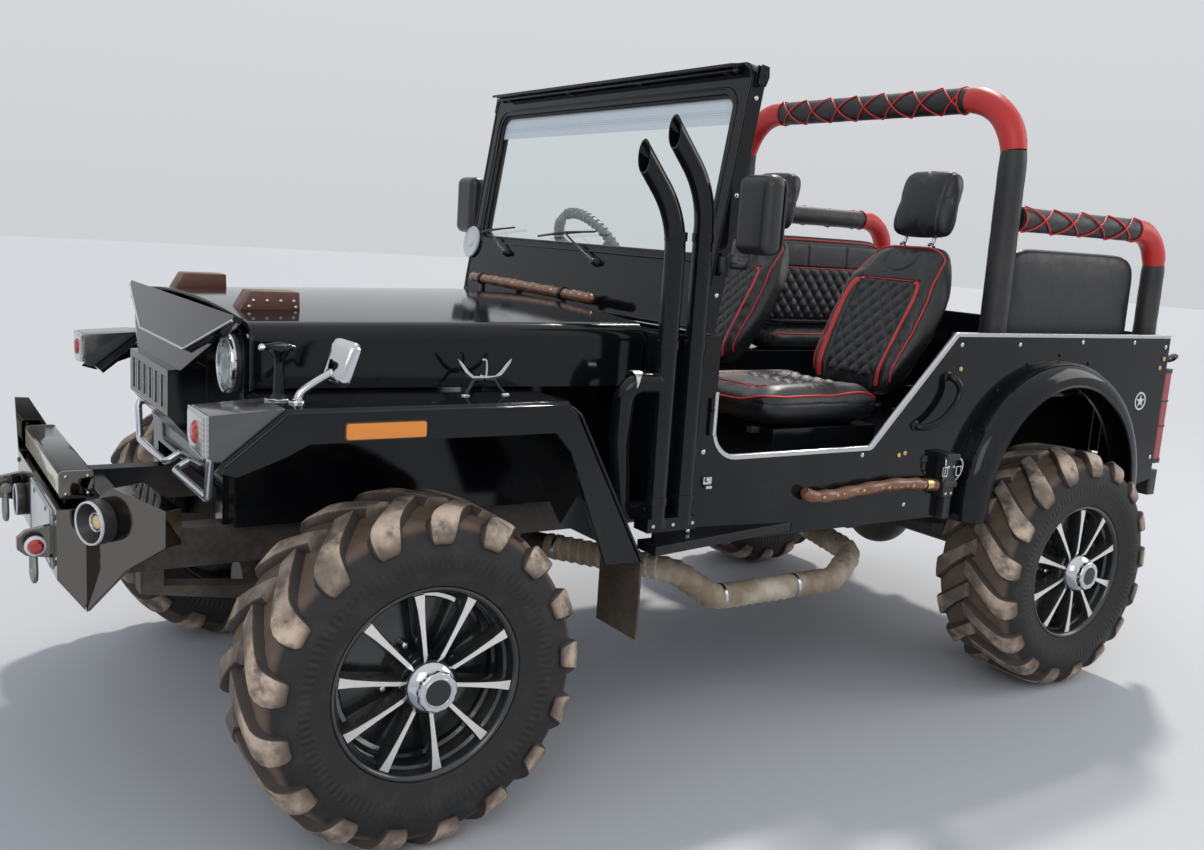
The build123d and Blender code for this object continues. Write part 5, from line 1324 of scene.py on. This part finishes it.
profile = [(-0.425, 0.902), (-0.300, 1.004), (0.365, 1.004), (0.396, 0.982), (0.604, 0.600)]
bead = tube(bent_line([(0.7985, y, z - 0.014) for y, z in profile], 0.03), 0.0042, 10)
fit_piece("wing_edge_beads", bead, gloss_black, crease=60, pair=True)
amber = lens_plastic("amber_marker_lens", (0.78, 0.24, 0.012, 1), 0.2, 0.16, (500, 0.0003))
MARKER_AT = (-0.090, 0.952)
marker = slab(0.090, 0.0175, 0.006, MARKER_AT, 0.8015, 0.8105)
fit_piece("wing_marker_lenses", marker, amber, roundness=0.003, pair=True)
marker_back = slab(0.093, 0.0205, 0.007, MARKER_AT, 0.8000, 0.8045)
fit_piece("wing_marker_bases", marker_back, black_plastic, roundness=0.001, pair=True)

CATCH_AT = (0.660, -0.276, 1.000)
catch_post = lathe([(0.0, 0), (0.0, 0.020), (0.006, 0.018), (0.012, 0.012), (0.070, 0.0105), (0.088, 0.013),
                    (0.100, 0.021), (0.108, 0.023), (0.116, 0.019), (0.120, 0.0)], 32)
catch_arm = tube([(0.660, -0.312, 1.110), (0.660, -0.276, 1.116), (0.660, -0.244, 1.108)], 0.0065, 12)
fit_piece("catch_posts", set_at(catch_post, [CATCH_AT], ALONG_Z) + [catch_arm], gloss_black, crease=40, pair=True)
foot_ring = lathe([(0.0, 0.016), (0.0, 0.030), (0.003, 0.030), (0.005, 0.026), (0.005, 0.016)], 40, closed=True)
arm_tip = lathe([(-0.008, 0), (-0.006, 0.006), (0.0, 0.0085), (0.006, 0.006), (0.008, 0)], 20)
plated = set_at(foot_ring, [CATCH_AT], ALONG_Z) + set_at(arm_tip, [(0.660, -0.313, 1.110)], ALONG_Y)
fit_piece("catch_plated_feet", plated, chrome, crease=40, pair=True)

TOGGLE_Y = 0.208
blade_outline = [(0.000, 0.003), (0.028, 0.004), (0.041, 0.014), (0.056, 0.032), (0.070, 0.044), (0.066, 0.033),
                 (0.055, 0.018), (0.045, 0.004), (0.034, -0.003), (0.000, -0.003)]
leg_line = [(0.660, 0.004, 1.035), (0.660, 0.026, 1.033), (0.664, 0.037, 1.019), (0.670, 0.050, 1.0035)]
leg_foot = lathe([(0, 0), (0, 0.013), (0.003, 0.012), (0.005, 0.006), (0.005, 0)], 24)
blades, legs = [], []
for way in (1, -1):
    blades.append(prism([(TOGGLE_Y + way * a, 1.040 + b) for a, b in blade_outline], 0.656, 0.664))
    leg = [(x, TOGGLE_Y + way * y, z) for x, y, z in leg_line]
    legs.append(bent_rod(leg, 5, [0.0052 - 0.0001 * i for i in range(16)], 10))
    blades += set_at(leg_foot, [(0.670, TOGGLE_Y + way * 0.052, 1.000)], ALONG_Z)
blades.append(bent_rod([(0.660, 0.198, 1.045), (0.660, 0.212, 1.042), (0.660, 0.214, 1.064), (0.660, 0.211, 1.080),
                        (0.660, 0.201, 1.081)], 5, 0.0030, 8))
fit_piece("wing_toggles", blades, chrome, roundness=0.0012, pair=True)
fit_piece("wing_toggle_legs", legs, black_plastic, crease=60, pair=True)

head_layers = ((-0.016, 0.55), (-0.014, 0.80), (-0.008, 0.95), (0.0, 1.0), (0.008, 1.0), (0.010, 0.94))
head = skin([[(x * s, t, z * s) for x, z in rounded(0.036, 0.050, 0.016)] for t, s in head_layers])
head = placed(head, shifted(0.705, -0.158, 1.083) @ turned(-18) @ turned(24, "Z"))
stalk = bent_rod([(0.705, -0.250, 1.002), (0.705, -0.243, 1.020), (0.705, -0.212, 1.042), (0.705, -0.184, 1.058),
                  (0.705, -0.166, 1.068)], 5, [0.0105 - 0.00016 * i for i in range(21)], 16)
foot = lathe([(0, 0), (0, 0.019), (0.004, 0.018), (0.008, 0.012), (0.010, 0)], 28)
mirror_parts = [head, stalk] + set_at(foot, [(0.705, -0.252, 1.000)], ALONG_Z)
fit_piece("wing_mirrors", mirror_parts, chrome, crease=40, pair=True)
bolt_spots = [(x, y, 1.0000) for x in (0.47, 0.77) for y in (-0.27, 0.03, 0.33)]
fit_piece("wing_top_bolts", set_at(button(0.0055, 0.004, 20), bolt_spots, ALONG_Z), gloss_black, pair=True)

# Body side trim.
# A bright channel is pressed over the door opening's edge and the tub's rail; plated and brass screws, a
# bent grab loop, a carved wooden handle, a small latch, a tool holder and a bare star ring are on each side.
SIDE_X, ON_SIDE = 0.720, 0.7195
edge_points = [(0.8655, 1.000), (0.8655, 0.885)]
for i in range(1, 8):
    angle = math.pi / 2 * i / 8
    edge_points.append((0.943 - 0.0775 * math.cos(angle), 0.9025 - 0.0775 * math.sin(angle)))
edge_points += [(0.943, 0.8250), (1.452, 0.8250), (1.458, 0.8285), (1.777, 1.1575), (1.786, 1.1600), (2.916, 1.1600)]
channel_section = [(0.7222, -0.009), (0.7222, 0.0020), (0.7205, 0.0034), (0.7075, 0.0034), (0.7060, 0.0020),
                   (0.7060, -0.009), (0.7068, -0.009), (0.7068, 0.0008), (0.7215, 0.0008), (0.7215, -0.009)]
channel_rings = []
for i, (y, z) in enumerate(edge_points):
    before, after = edge_points[max(i - 1, 0)], edge_points[min(i + 1, len(edge_points) - 1)]
    along = Vector((after[0] - before[0], after[1] - before[1])).normalized()
    channel_rings.append([(x, y - along[1] * d, z + along[0] * d) for x, d in channel_section])
trim_silver = chromed("bright_edge_channel", (0.60, 0.61, 0.62, 1), 0.35, 1.6, 0.22, (500, 0.0001), 0.9)
fit_piece("door_edge_channels", skin(channel_rings), trim_silver, crease=50, pair=True)
screw_spots = [(1.802, 1.126), (2.079, 1.127), (2.405, 1.136), (2.700, 1.136), (0.831, 0.842), (1.422, 0.803),
               (2.894, 1.120), (2.895, 0.72), (1.62, 0.64), (0.80, 0.63)]
brass_spots = [(1.807, 1.052), (1.799, 1.015), (1.575, 0.795), (1.600, 0.800)]
for name, head, spots, finish in (("side_screws", button(0.0072, 0.0042), screw_spots, chrome),
                                  ("side_brass_bolts", button(0.0085, 0.006, 6), brass_spots, brass)):
    fit_piece(name, set_at(head, [(SIDE_X, y, z) for y, z in spots]), finish, pair=True)
loop = bent_rod([(0.7195, 1.753, 1.030), (0.738, 1.757, 1.027), (0.752, 1.768, 1.012), (0.757, 1.775, 0.985),
                 (0.757, 1.755, 0.945), (0.755, 1.712, 0.905), (0.748, 1.664, 0.884), (0.736, 1.640, 0.880),
                 (0.7195, 1.632, 0.882)], 6, 0.0105, 16)
loop_foot = lathe([(0, 0), (0, 0.017), (0.003, 0.016), (0.006, 0.009), (0.006, 0)], 24)
loop_parts = [loop] + set_at(loop_foot, [(SIDE_X, 1.753, 1.030), (SIDE_X, 1.632, 0.882)])
fit_piece("grab_loops", loop_parts, gloss_black, crease=40, pair=True)

grip_path = smooth_path([(0.738, 1.190, 0.716), (0.740, 1.215, 0.700), (0.741, 1.300, 0.697), (0.741, 1.420, 0.706),
                         (0.741, 1.560, 0.712), (0.741, 1.680, 0.704), (0.740, 1.728, 0.698)], 8)
grip_radii = []
for i in range(len(grip_path)):
    narrow = 0.75 + 0.25 * step_up(i / (len(grip_path) - 1), 0.0, 0.08)
    carved = 1 + 0.10 * math.sin(i * 1.05) * step_up(i / len(grip_path), 0.05, 0.2)
    grip_radii.append(0.018 * narrow * carved)
fit_piece("side_wood_handles", tube(grip_path, grip_radii, 24), wood, crease=60, pair=True)
handle_brass = []
for i in range(17):
    pin = button(0.0034 if i % 2 else 0.0052, 0.002, 14)
    handle_brass += set_at(pin, [(0.7575, 1.250 + 0.026 * i, 0.7005 + 0.008 * math.sin((i - 2) / 5))])
handle_brass += set_at(collar(0.012, 0.0175, 0.0205, 32), [(0.741, 1.690, 0.703)], ALONG_Y)
fit_piece("side_handle_inlay", handle_brass, brass, crease=40, pair=True)
handle_feet = [slab(0.012, 0.009, 0.003, at, ON_SIDE, 0.733) for at in ((1.245, 0.700), (1.66, 0.706))]
fit_piece("side_handle_feet", handle_feet, black_plastic, pair=True)

HOLDER_Y = 1.772
holder = [slab(0.024, 0.060, 0.008, (HOLDER_Y, 0.720), ON_SIDE, 0.758),
          slab(0.030, 0.010, 0.004, (HOLDER_Y, 0.786), ON_SIDE, 0.766),
          slab(0.031, 0.009, 0.004, (HOLDER_Y, 0.700), ON_SIDE, 0.764),
          slab(0.016, 0.052, 0.006, (1.786, 0.640), ON_SIDE, 0.748)]
fit_piece("tool_holders", holder, black_plastic, roundness=0.003, pair=True)
buckles = []
for dy in (-0.030, 0.030):
    outline = rounded(0.010, 0.014, 0.003, (HOLDER_Y + dy, 0.742))
    buckles.append(tube([Vector((0.762, y, z)) for y, z in outline], 0.0022, 8, closed=True))
for side in (-1, 1):
    strap = [(0.752, 0.026, 0.790), (0.768, 0.038, 0.770), (0.766, 0.036, 0.735), (0.752, 0.026, 0.706)]
    buckles.append(bent_rod([(x, HOLDER_Y + side * y, z) for x, y, z in strap], 5, 0.0024, 8))
stud_spots = [(0.757, HOLDER_Y + dy, z) for dy in (-0.012, 0.012) for z in (0.672, 0.755)]
fit_piece("tool_holder_buckles", buckles + set_at(button(0.005, 0.004, 16), stud_spots), chrome, crease=60, pair=True)

latch = [slab(0.014, 0.010, 0.003, (0.848, 0.765), ON_SIDE, 0.728), slab(0.010, 0.004, 0.002, (0.850, 0.748), ON_SIDE, 0.734)]
latch += set_at(button(0.006, 0.010, 20), [(0.727, 0.843, 0.768)])
fit_piece("small_side_latches", latch, chrome, roundness=0.0008, pair=True)
pin_plate = [slab(0.006, 0.050, 0.004, (0.846, 0.935), ON_SIDE, 0.729)]
pin_plate += set_at(button(0.006, 0.006, 16), [(0.728, 0.846, 0.955)])
fit_piece("door_pin_plates", pin_plate, gloss_black, roundness=0.0012, pair=True)
STAR_AT = (2.785, 0.928)
star_points = []
for i in range(10):
    r = 0.024 if i % 2 == 0 else 0.0098
    star_points.append((STAR_AT[0] + r * math.sin(math.pi * i / 5), STAR_AT[1] + r * math.cos(math.pi * i / 5)))
flat_ring = lathe([(0.0, 0.026), (0.0, 0.0325), (0.0012, 0.0325), (0.0012, 0.026)], 48, closed=True)
star_parts = [prism(star_points, 0.7199, 0.7212)] + set_at(flat_ring, [(0.7199, *STAR_AT)])
fit_piece("side_star_rings", star_parts, disc_white, pair=True)

ARCH_AT, ARCH_R, FLARE_TAIL = (2.292, 0.622), 0.375, 0.045
bulge = []
for i in range(14):
    t = math.pi / 2 * i / 14
    bulge.append((0.7203 + 0.0817 * math.sin(t) ** 0.78, ARCH_R + 0.080 * math.cos(t) ** 0.78))
bulge += [(0.8020, ARCH_R), (0.7970, ARCH_R)] + [(max(x - 0.005, 0.7203), r - 0.005) for x, r in reversed(bulge)]


def on_arch(x, r, angle, drop=0.0):
    """A point at an angle round the rear wheel arch, let down a little for the tails."""
    return x, ARCH_AT[0] - r * math.cos(angle), ARCH_AT[1] + r * math.sin(angle) - drop


turns = [(0, FLARE_TAIL)] + [(math.pi * i / 64, 0.0) for i in range(65)] + [(math.pi, FLARE_TAIL)]
flare = skin([[on_arch(x, r, angle, drop) for x, r in bulge] for angle, drop in turns])
fit_piece("rounded_flares", flare, gloss_black, crease=40, pair=True, node="rear_flares")
turns = [(0, 0.042)] + [(math.pi * i / 48, 0.0) for i in range(49)] + [(math.pi, 0.042)]
flare_bead = tube([on_arch(0.8000, 0.3790, angle, drop) for angle, drop in turns], 0.0042, 8)
fit_piece("flare_edge_beads", flare_bead, gloss_black, crease=60, pair=True)
rivet_spots = [on_arch(0.7225, 0.470, math.pi * (i + 0.5) / 9) for i in range(9)]
fit_piece("flare_rivets", set_at(button(0.005, 0.003, 16), rivet_spots), gloss_black, pair=True)

# Exhaust.
# A bent steel pipe wound in dry tan heat tape, each turn lapping the last; its end elbows are left bare
# and have rusted dark.
heat_tape = patterned("woven_heat_tape", "Wave", {"Scale": 150, "Distortion": 1.5, "Detail": 2}, (0.62, 0.53, 0.41, 1),
                      (0.75, 0.95), (0.7, 0.0008), bands_direction="DIAGONAL")
tree = heat_tape.node_tree
scorch = span(tree, texture(tree, "Noise", {"Scale": 7, "Detail": 6}), 0.38, 0.62)
tape_tone = blend(tree, scorch, (0.30, 0.225, 0.155, 1), (0.62, 0.53, 0.41, 1))
wire(tree, tree.nodes["Principled BSDF"], {"Base Color": tape_tone})
pipe_rust = coated_metal("dark_rusted_pipe", (0.045, 0.030, 0.022, 1), TAN_DUST, 0.6, 1.3, 0.6, (160, 0.0008), metallic=0.4)
exhaust_corners = [(0.150, 0.600, 0.5597), (0.150, 0.600, 0.478), (0.570, 0.880, 0.470), (0.600, 1.010, 0.385),
                   (0.600, 1.480, 0.385), (0.540, 1.610, 0.440), (0.200, 1.640, 0.480), (0.200, 1.640, 0.5717)]
exhaust_path = bent_line(exhaust_corners, 0.075, 0.004)
run = [0.0]
for before, after in zip(exhaust_path, exhaust_path[1:]):
    run.append(run[-1] + (after - before).length)


def wound(path, run, pitch, r, lift, sides=28):
    """A tube whose skin climbs like lapped tape wound round it."""
    rings = tube(path, 1.0, sides)[0]
    points = []
    for i, (centre, length) in enumerate(zip(path, run)):
        for k in range(sides):
            phase = (length / pitch + k / sides) % 1.0
            uneven = 0.0008 * noise.noise(Vector((length * 40, k * 0.5, 0)))
            points.append(centre + (rings[i * sides + k] - centre) * (r + lift * phase + uneven))
    return points, skin([points[i * sides:(i + 1) * sides] for i in range(len(path))])[1]


taped = [i for i, point in enumerate(exhaust_path) if point.y > 0.66 and (point.y < 1.60 or point.x > 0.30)]
first, last = taped[0], taped[-1]
tape = wound(exhaust_path[first:last + 1], run[first:last + 1], 0.030, 0.0326, 0.0058)
fit_piece("exhaust_tape", tape, heat_tape, crease=50, node="exhaust")
bare = [tube(exhaust_path[:first + 6:2], 0.0335, 28), tube(exhaust_path[last - 6::2], 0.0335, 28)]
fit_piece("exhaust_bare_ends", bare, pipe_rust, crease=60)
ties = []
middle = len(exhaust_path) // 2
for index in (first + 8, middle - 40, middle + 30, last - 8):
    along = (exhaust_path[index + 1] - exhaust_path[index - 1]).normalized()
    ties += set_at(collar(0.005, 0.0358, 0.0376, 36), [exhaust_path[index]], aimed(along))
fit_piece("exhaust_band_clips", ties, brushed_steel)

# Mud flaps.
# Cut rubber sheets hung behind the front wheels under a bolted steel strip, their faces coated in
# dried splash.
flap_rubber = coated_metal("splashed_flap_rubber", (0.030, 0.020, 0.013, 1), TAN_DUST, 1.0, 1.2, 0.7, (90, 0.0012))
paint_nodes(flap_rubber, "mudflaps")
flap_strip = strip((0.620, 0.798), (0.562, 0.586), 0.6032, 0.6062, "y")
fit_piece("flap_strips", flap_strip, chassis_black, roundness=0.0006, pair=True)
flap_bolts = set_at(button(0.006, 0.004, 6), [(x, 0.6062, 0.574) for x in (0.650, 0.709, 0.768)], TO_REAR)
fit_piece("flap_bolts", flap_bolts, brushed_steel, pair=True)

# Tail lamps.
# Tall red moulded lenses on black bases at the body's rear corners, with fine ribs inside the plastic; a
# tie hook above each and a small reflector box below.
tail_red = patterned("ribbed_red_lens", "Wave", {"Scale": 42}, ((0.22, 0.004, 0.007, 1), (0.42, 0.010, 0.010, 1)),
                     (0.1, 0.2), (0.5, 0.0012), (GREY_DUST, 0.08, 1.4), {"Coat Weight": 0.8}, bands_direction="Z")
paint_nodes(tail_red, "tail_lamps")
band_heights = ((0.694, 0.712), (0.828, 0.834), (0.920, 0.926), (1.024, 1.040))
lamp_bands = [slab(0.0305, 0.0295, 0.014, (0.687, 2.948), low, high, "z") for low, high in band_heights]
fit_piece("tail_lamp_bands", lamp_bands, black_plastic, roundness=0.001, pair=True)
reflector_box = slab(0.026, 0.024, 0.008, (0.690, 2.946), 0.575, 0.668, "z")
fit_piece("rear_corner_boxes", reflector_box, black_plastic, roundness=0.002, pair=True)
hook = bent_rod([(0.712, 2.900, 1.082), (0.716, 2.930, 1.084), (0.716, 2.965, 1.090), (0.710, 2.990, 1.084),
                 (0.696, 2.992, 1.072), (0.688, 2.970, 1.066), (0.686, 2.925, 1.066)], 6, 0.0068, 12)
fit_piece("tie_hooks", hook, gloss_black, crease=60, pair=True)
hook_bolts = set_at(button(0.009, 0.007, 6), [(SIDE_X, 2.890, 1.078), (SIDE_X, 2.872, 1.046)])
fit_piece("tie_hook_bolts", hook_bolts, brass, pair=True)

# Tailgate.
# A pressed steel gate with raised ribs, two plated slam latches, a bare plate and round reflectors.
ribs = [slab(0.40, 0.006, 0.005, (0, z), 2.9275, 2.9335, "y") for z in (0.80, 0.87, 0.94, 1.01, 1.08)]
fit_piece("gate_ribs", ribs, gloss_black, "tail_gate", roundness=0.002)
gate_latch = [slab(0.020, 0.030, 0.004, (0.475, 1.100), 2.9385, 2.944, "y")]
gate_latch += [slab(0.008, 0.024, 0.004, (0.475, 1.108), 2.943, 2.956, "y")]
fit_piece("gate_latches", gate_latch, chrome, "tail_gate", roundness=0.001, pair=True)
REAR_PLATE_AT = (-0.20, 0.905)
rear_plate = slab(0.150, 0.085, 0.008, REAR_PLATE_AT, 2.9336, 2.9372, "y")
fit_piece("bare_rear_plate", rear_plate, plate_white, "tail_gate", roundness=0.0008)
fit_piece("rear_plate_rim", ring_of(0.146, 0.081, 0.006, REAR_PLATE_AT, 2.9374, 0.0016), cover_grey, "tail_gate")
round_red = lathe([(0, 0), (0, 0.028), (0.004, 0.028), (0.007, 0.024), (0.008, 0)], 36)
fit_piece("gate_reflectors", set_at(round_red, [(0.33, 2.9335, 0.84)], TO_REAR), red_lens, "tail_gate", pair=True)
gate_cap = slab(0.497, 0.009, 0.004, (0, 2.927), 1.1535, 1.1585, "z")
fit_piece("gate_top_edge", gate_cap, gloss_black, "tail_gate", roundness=0.001)

# Steering wheel and dash.
# A thin moulded rim in grey on three pressed spokes; the flat dash carries round gauges in bright rims,
# switches, and a grab handle.
wheel_grey = leather_finish("grey_rim_plastic", (0.15, 0.16, 0.17, 1), 0.2, 1400, (0.30, 0.45))
paint_nodes(wheel_grey, "steering_wheel")
WHEEL_PLACE = shifted(-0.360, 1.150, 1.282) @ turned(-60)
ridge = ring_cord(0, 0, 0, 0.0158, 0, 0.0035, 20)
to_rim = shifted(0.195, 0, 0) @ TO_REAR
ridges = [placed(ridge, turned(angle, "Z") @ to_rim) for angle in (i * 6 for i in range(60) if i % 20 > 2)]
fit_piece("steering_rim_ridges", ridges, wheel_grey, "hand_wheel", 60, place=WHEEL_PLACE)
hub_cap = lathe([(0.010, 0.0), (0.010, 0.050), (0.016, 0.052), (0.026, 0.045), (0.032, 0.030), (0.034, 0.0)], 48)
fit_piece("steering_hub_cap", placed(hub_cap, ALONG_Z), black_plastic, "hand_wheel", crease=30, place=WHEEL_PLACE)

gauge_face = patterned("gauge_dial_face", "Noise", {"Scale": 240, "Detail": 2},
                       ((0.012, 0.013, 0.014, 1), (0.022, 0.024, 0.026, 1)), (0.08, 0.16), None, None, {"Coat Weight": 1.0})
dials, rims, ticks = [], [], []
# Columns: place across, height, radius
for x, z, r in ((-0.455, 1.075, 0.050), (-0.300, 1.075, 0.050), (-0.175, 1.085, 0.028), (-0.105, 1.085, 0.028),
                (0.12, 1.085, 0.028)):
    spot = shifted(x, 0.8632, z) @ TO_REAR
    dials.append(placed(peg(-0.002, 0.003, r, 40), spot))
    rim = lathe([(0.0, r), (0.008, r + 0.001), (0.010, r + 0.004), (0.008, r + 0.006), (0.0, r + 0.006)], 48, closed=True)
    rims.append(placed(rim, spot))
    tick = slab(0.0008, r * 0.09, 0.0006, (0, r * 0.82), 0.003, 0.0036)
    ticks += [placed(tick, spot @ turned(-120 + 30 * i)) for i in range(9)]
    needle = prism([(-0.0015, 0), (0.0015, 0), (0.0005, r * 0.7), (-0.0005, r * 0.7)], 0.0038, 0.0046)
    ticks.append(placed(needle, spot @ turned(-50)))
fit_piece("dash_dials", dials, gauge_face)
fit_piece("dash_gauge_rims", rims, chrome, crease=40)
fit_piece("dash_needles_and_ticks", ticks, disc_white)
switch = lathe([(0, 0), (0, 0.010), (0.006, 0.009), (0.008, 0.005), (0.022, 0.004), (0.024, 0)], 20)
switches = set_at(switch, [(x, 0.863, 1.015) for x in (-0.18, -0.13, -0.08, -0.03, 0.02)], TO_REAR)
dash_grab = bent_rod([(0.28, 0.862, 1.100), (0.285, 0.888, 1.100), (0.32, 0.905, 1.100), (0.45, 0.905, 1.100),
                      (0.485, 0.888, 1.100), (0.49, 0.862, 1.100)], 6, 0.009, 14)
fit_piece("dash_switches_and_grab", switches + [dash_grab], black_plastic, crease=40)

# Footwell.
# Ribbed rubber mat over the floor pan, two gear levers in folded gaiters, a hand brake and three pedals
# hung from the bulkhead.
mat_rubber = moulded("ribbed_floor_mat", (0.017, 0.017, 0.017, 1), 0.6, 0.9, (300, 0.0006))
mat = [slab(0.690, 0.590, 0.02, (0, 1.305), 0.6902, 0.6945, "z")]
for x in (i * 0.03 - 0.66 for i in range(45)):
    mat.append(prism([(x - 0.004, 0.694), (x + 0.004, 0.694), (x + 0.003, 0.6975), (x - 0.003, 0.6975)], 0.73, 1.88, "y"))
fit_piece("floor_mat", mat, mat_rubber)
gaiter = [(0.0, 0.0), (0.0, 0.072)]
gaiter += [(0.010 + 0.012 * i, 0.066 - 0.0105 * i + (0.006 if i % 2 else -0.002)) for i in range(6)] + [(0.078, 0.0)]
knob = lathe([(-0.020, 0), (-0.018, 0.010), (-0.010, 0.019), (0.0, 0.023), (0.010, 0.021), (0.018, 0.012), (0.020, 0)], 28)
levers, knobs = [], []
for x, y, lean_back, long in ((-0.02, 1.02, 14, 0.40), (-0.115, 1.10, 20, 0.28)):
    levers += set_at(lathe(gaiter, 32), [(x, y, 0.6955)], ALONG_Z)
    top = (x, y + math.sin(math.radians(lean_back)) * long, 0.70 + math.cos(math.radians(lean_back)) * long)
    levers.append(tube([(x, y, 0.72), top], 0.0075, 14))
    knobs += set_at(knob, [top], ALONG_Z)
levers.append(bent_rod([(0.085, 1.12, 0.700), (0.085, 1.16, 0.735), (0.085, 1.30, 0.775), (0.085, 1.40, 0.800)], 5, 0.011, 14))
for x in (-0.50, -0.36, -0.24):
    levers.append(bent_rod([(x, 0.712, 0.96), (x, 0.76, 0.90), (x, 0.80, 0.82), (x, 0.815, 0.775)], 4, 0.008, 10))
    levers += set_at(slab(0.032, 0.026, 0.006, (0, 0), 0.0, 0.010, "y"), [(x, 0.812, 0.768)], turned(-25))
fit_piece("levers_and_pedals", levers, black_plastic, crease=40)
fit_piece("lever_knobs", knobs, wood, crease=60)
rails = [strip((1.16, 1.60), (0.8435, 0.861), x + dx - 0.011, x + dx + 0.011) for x in (0.385, -0.385) for dx in (-0.13, 0.13)]
fit_piece("seat_slide_rails", rails, chassis_black, roundness=0.001)
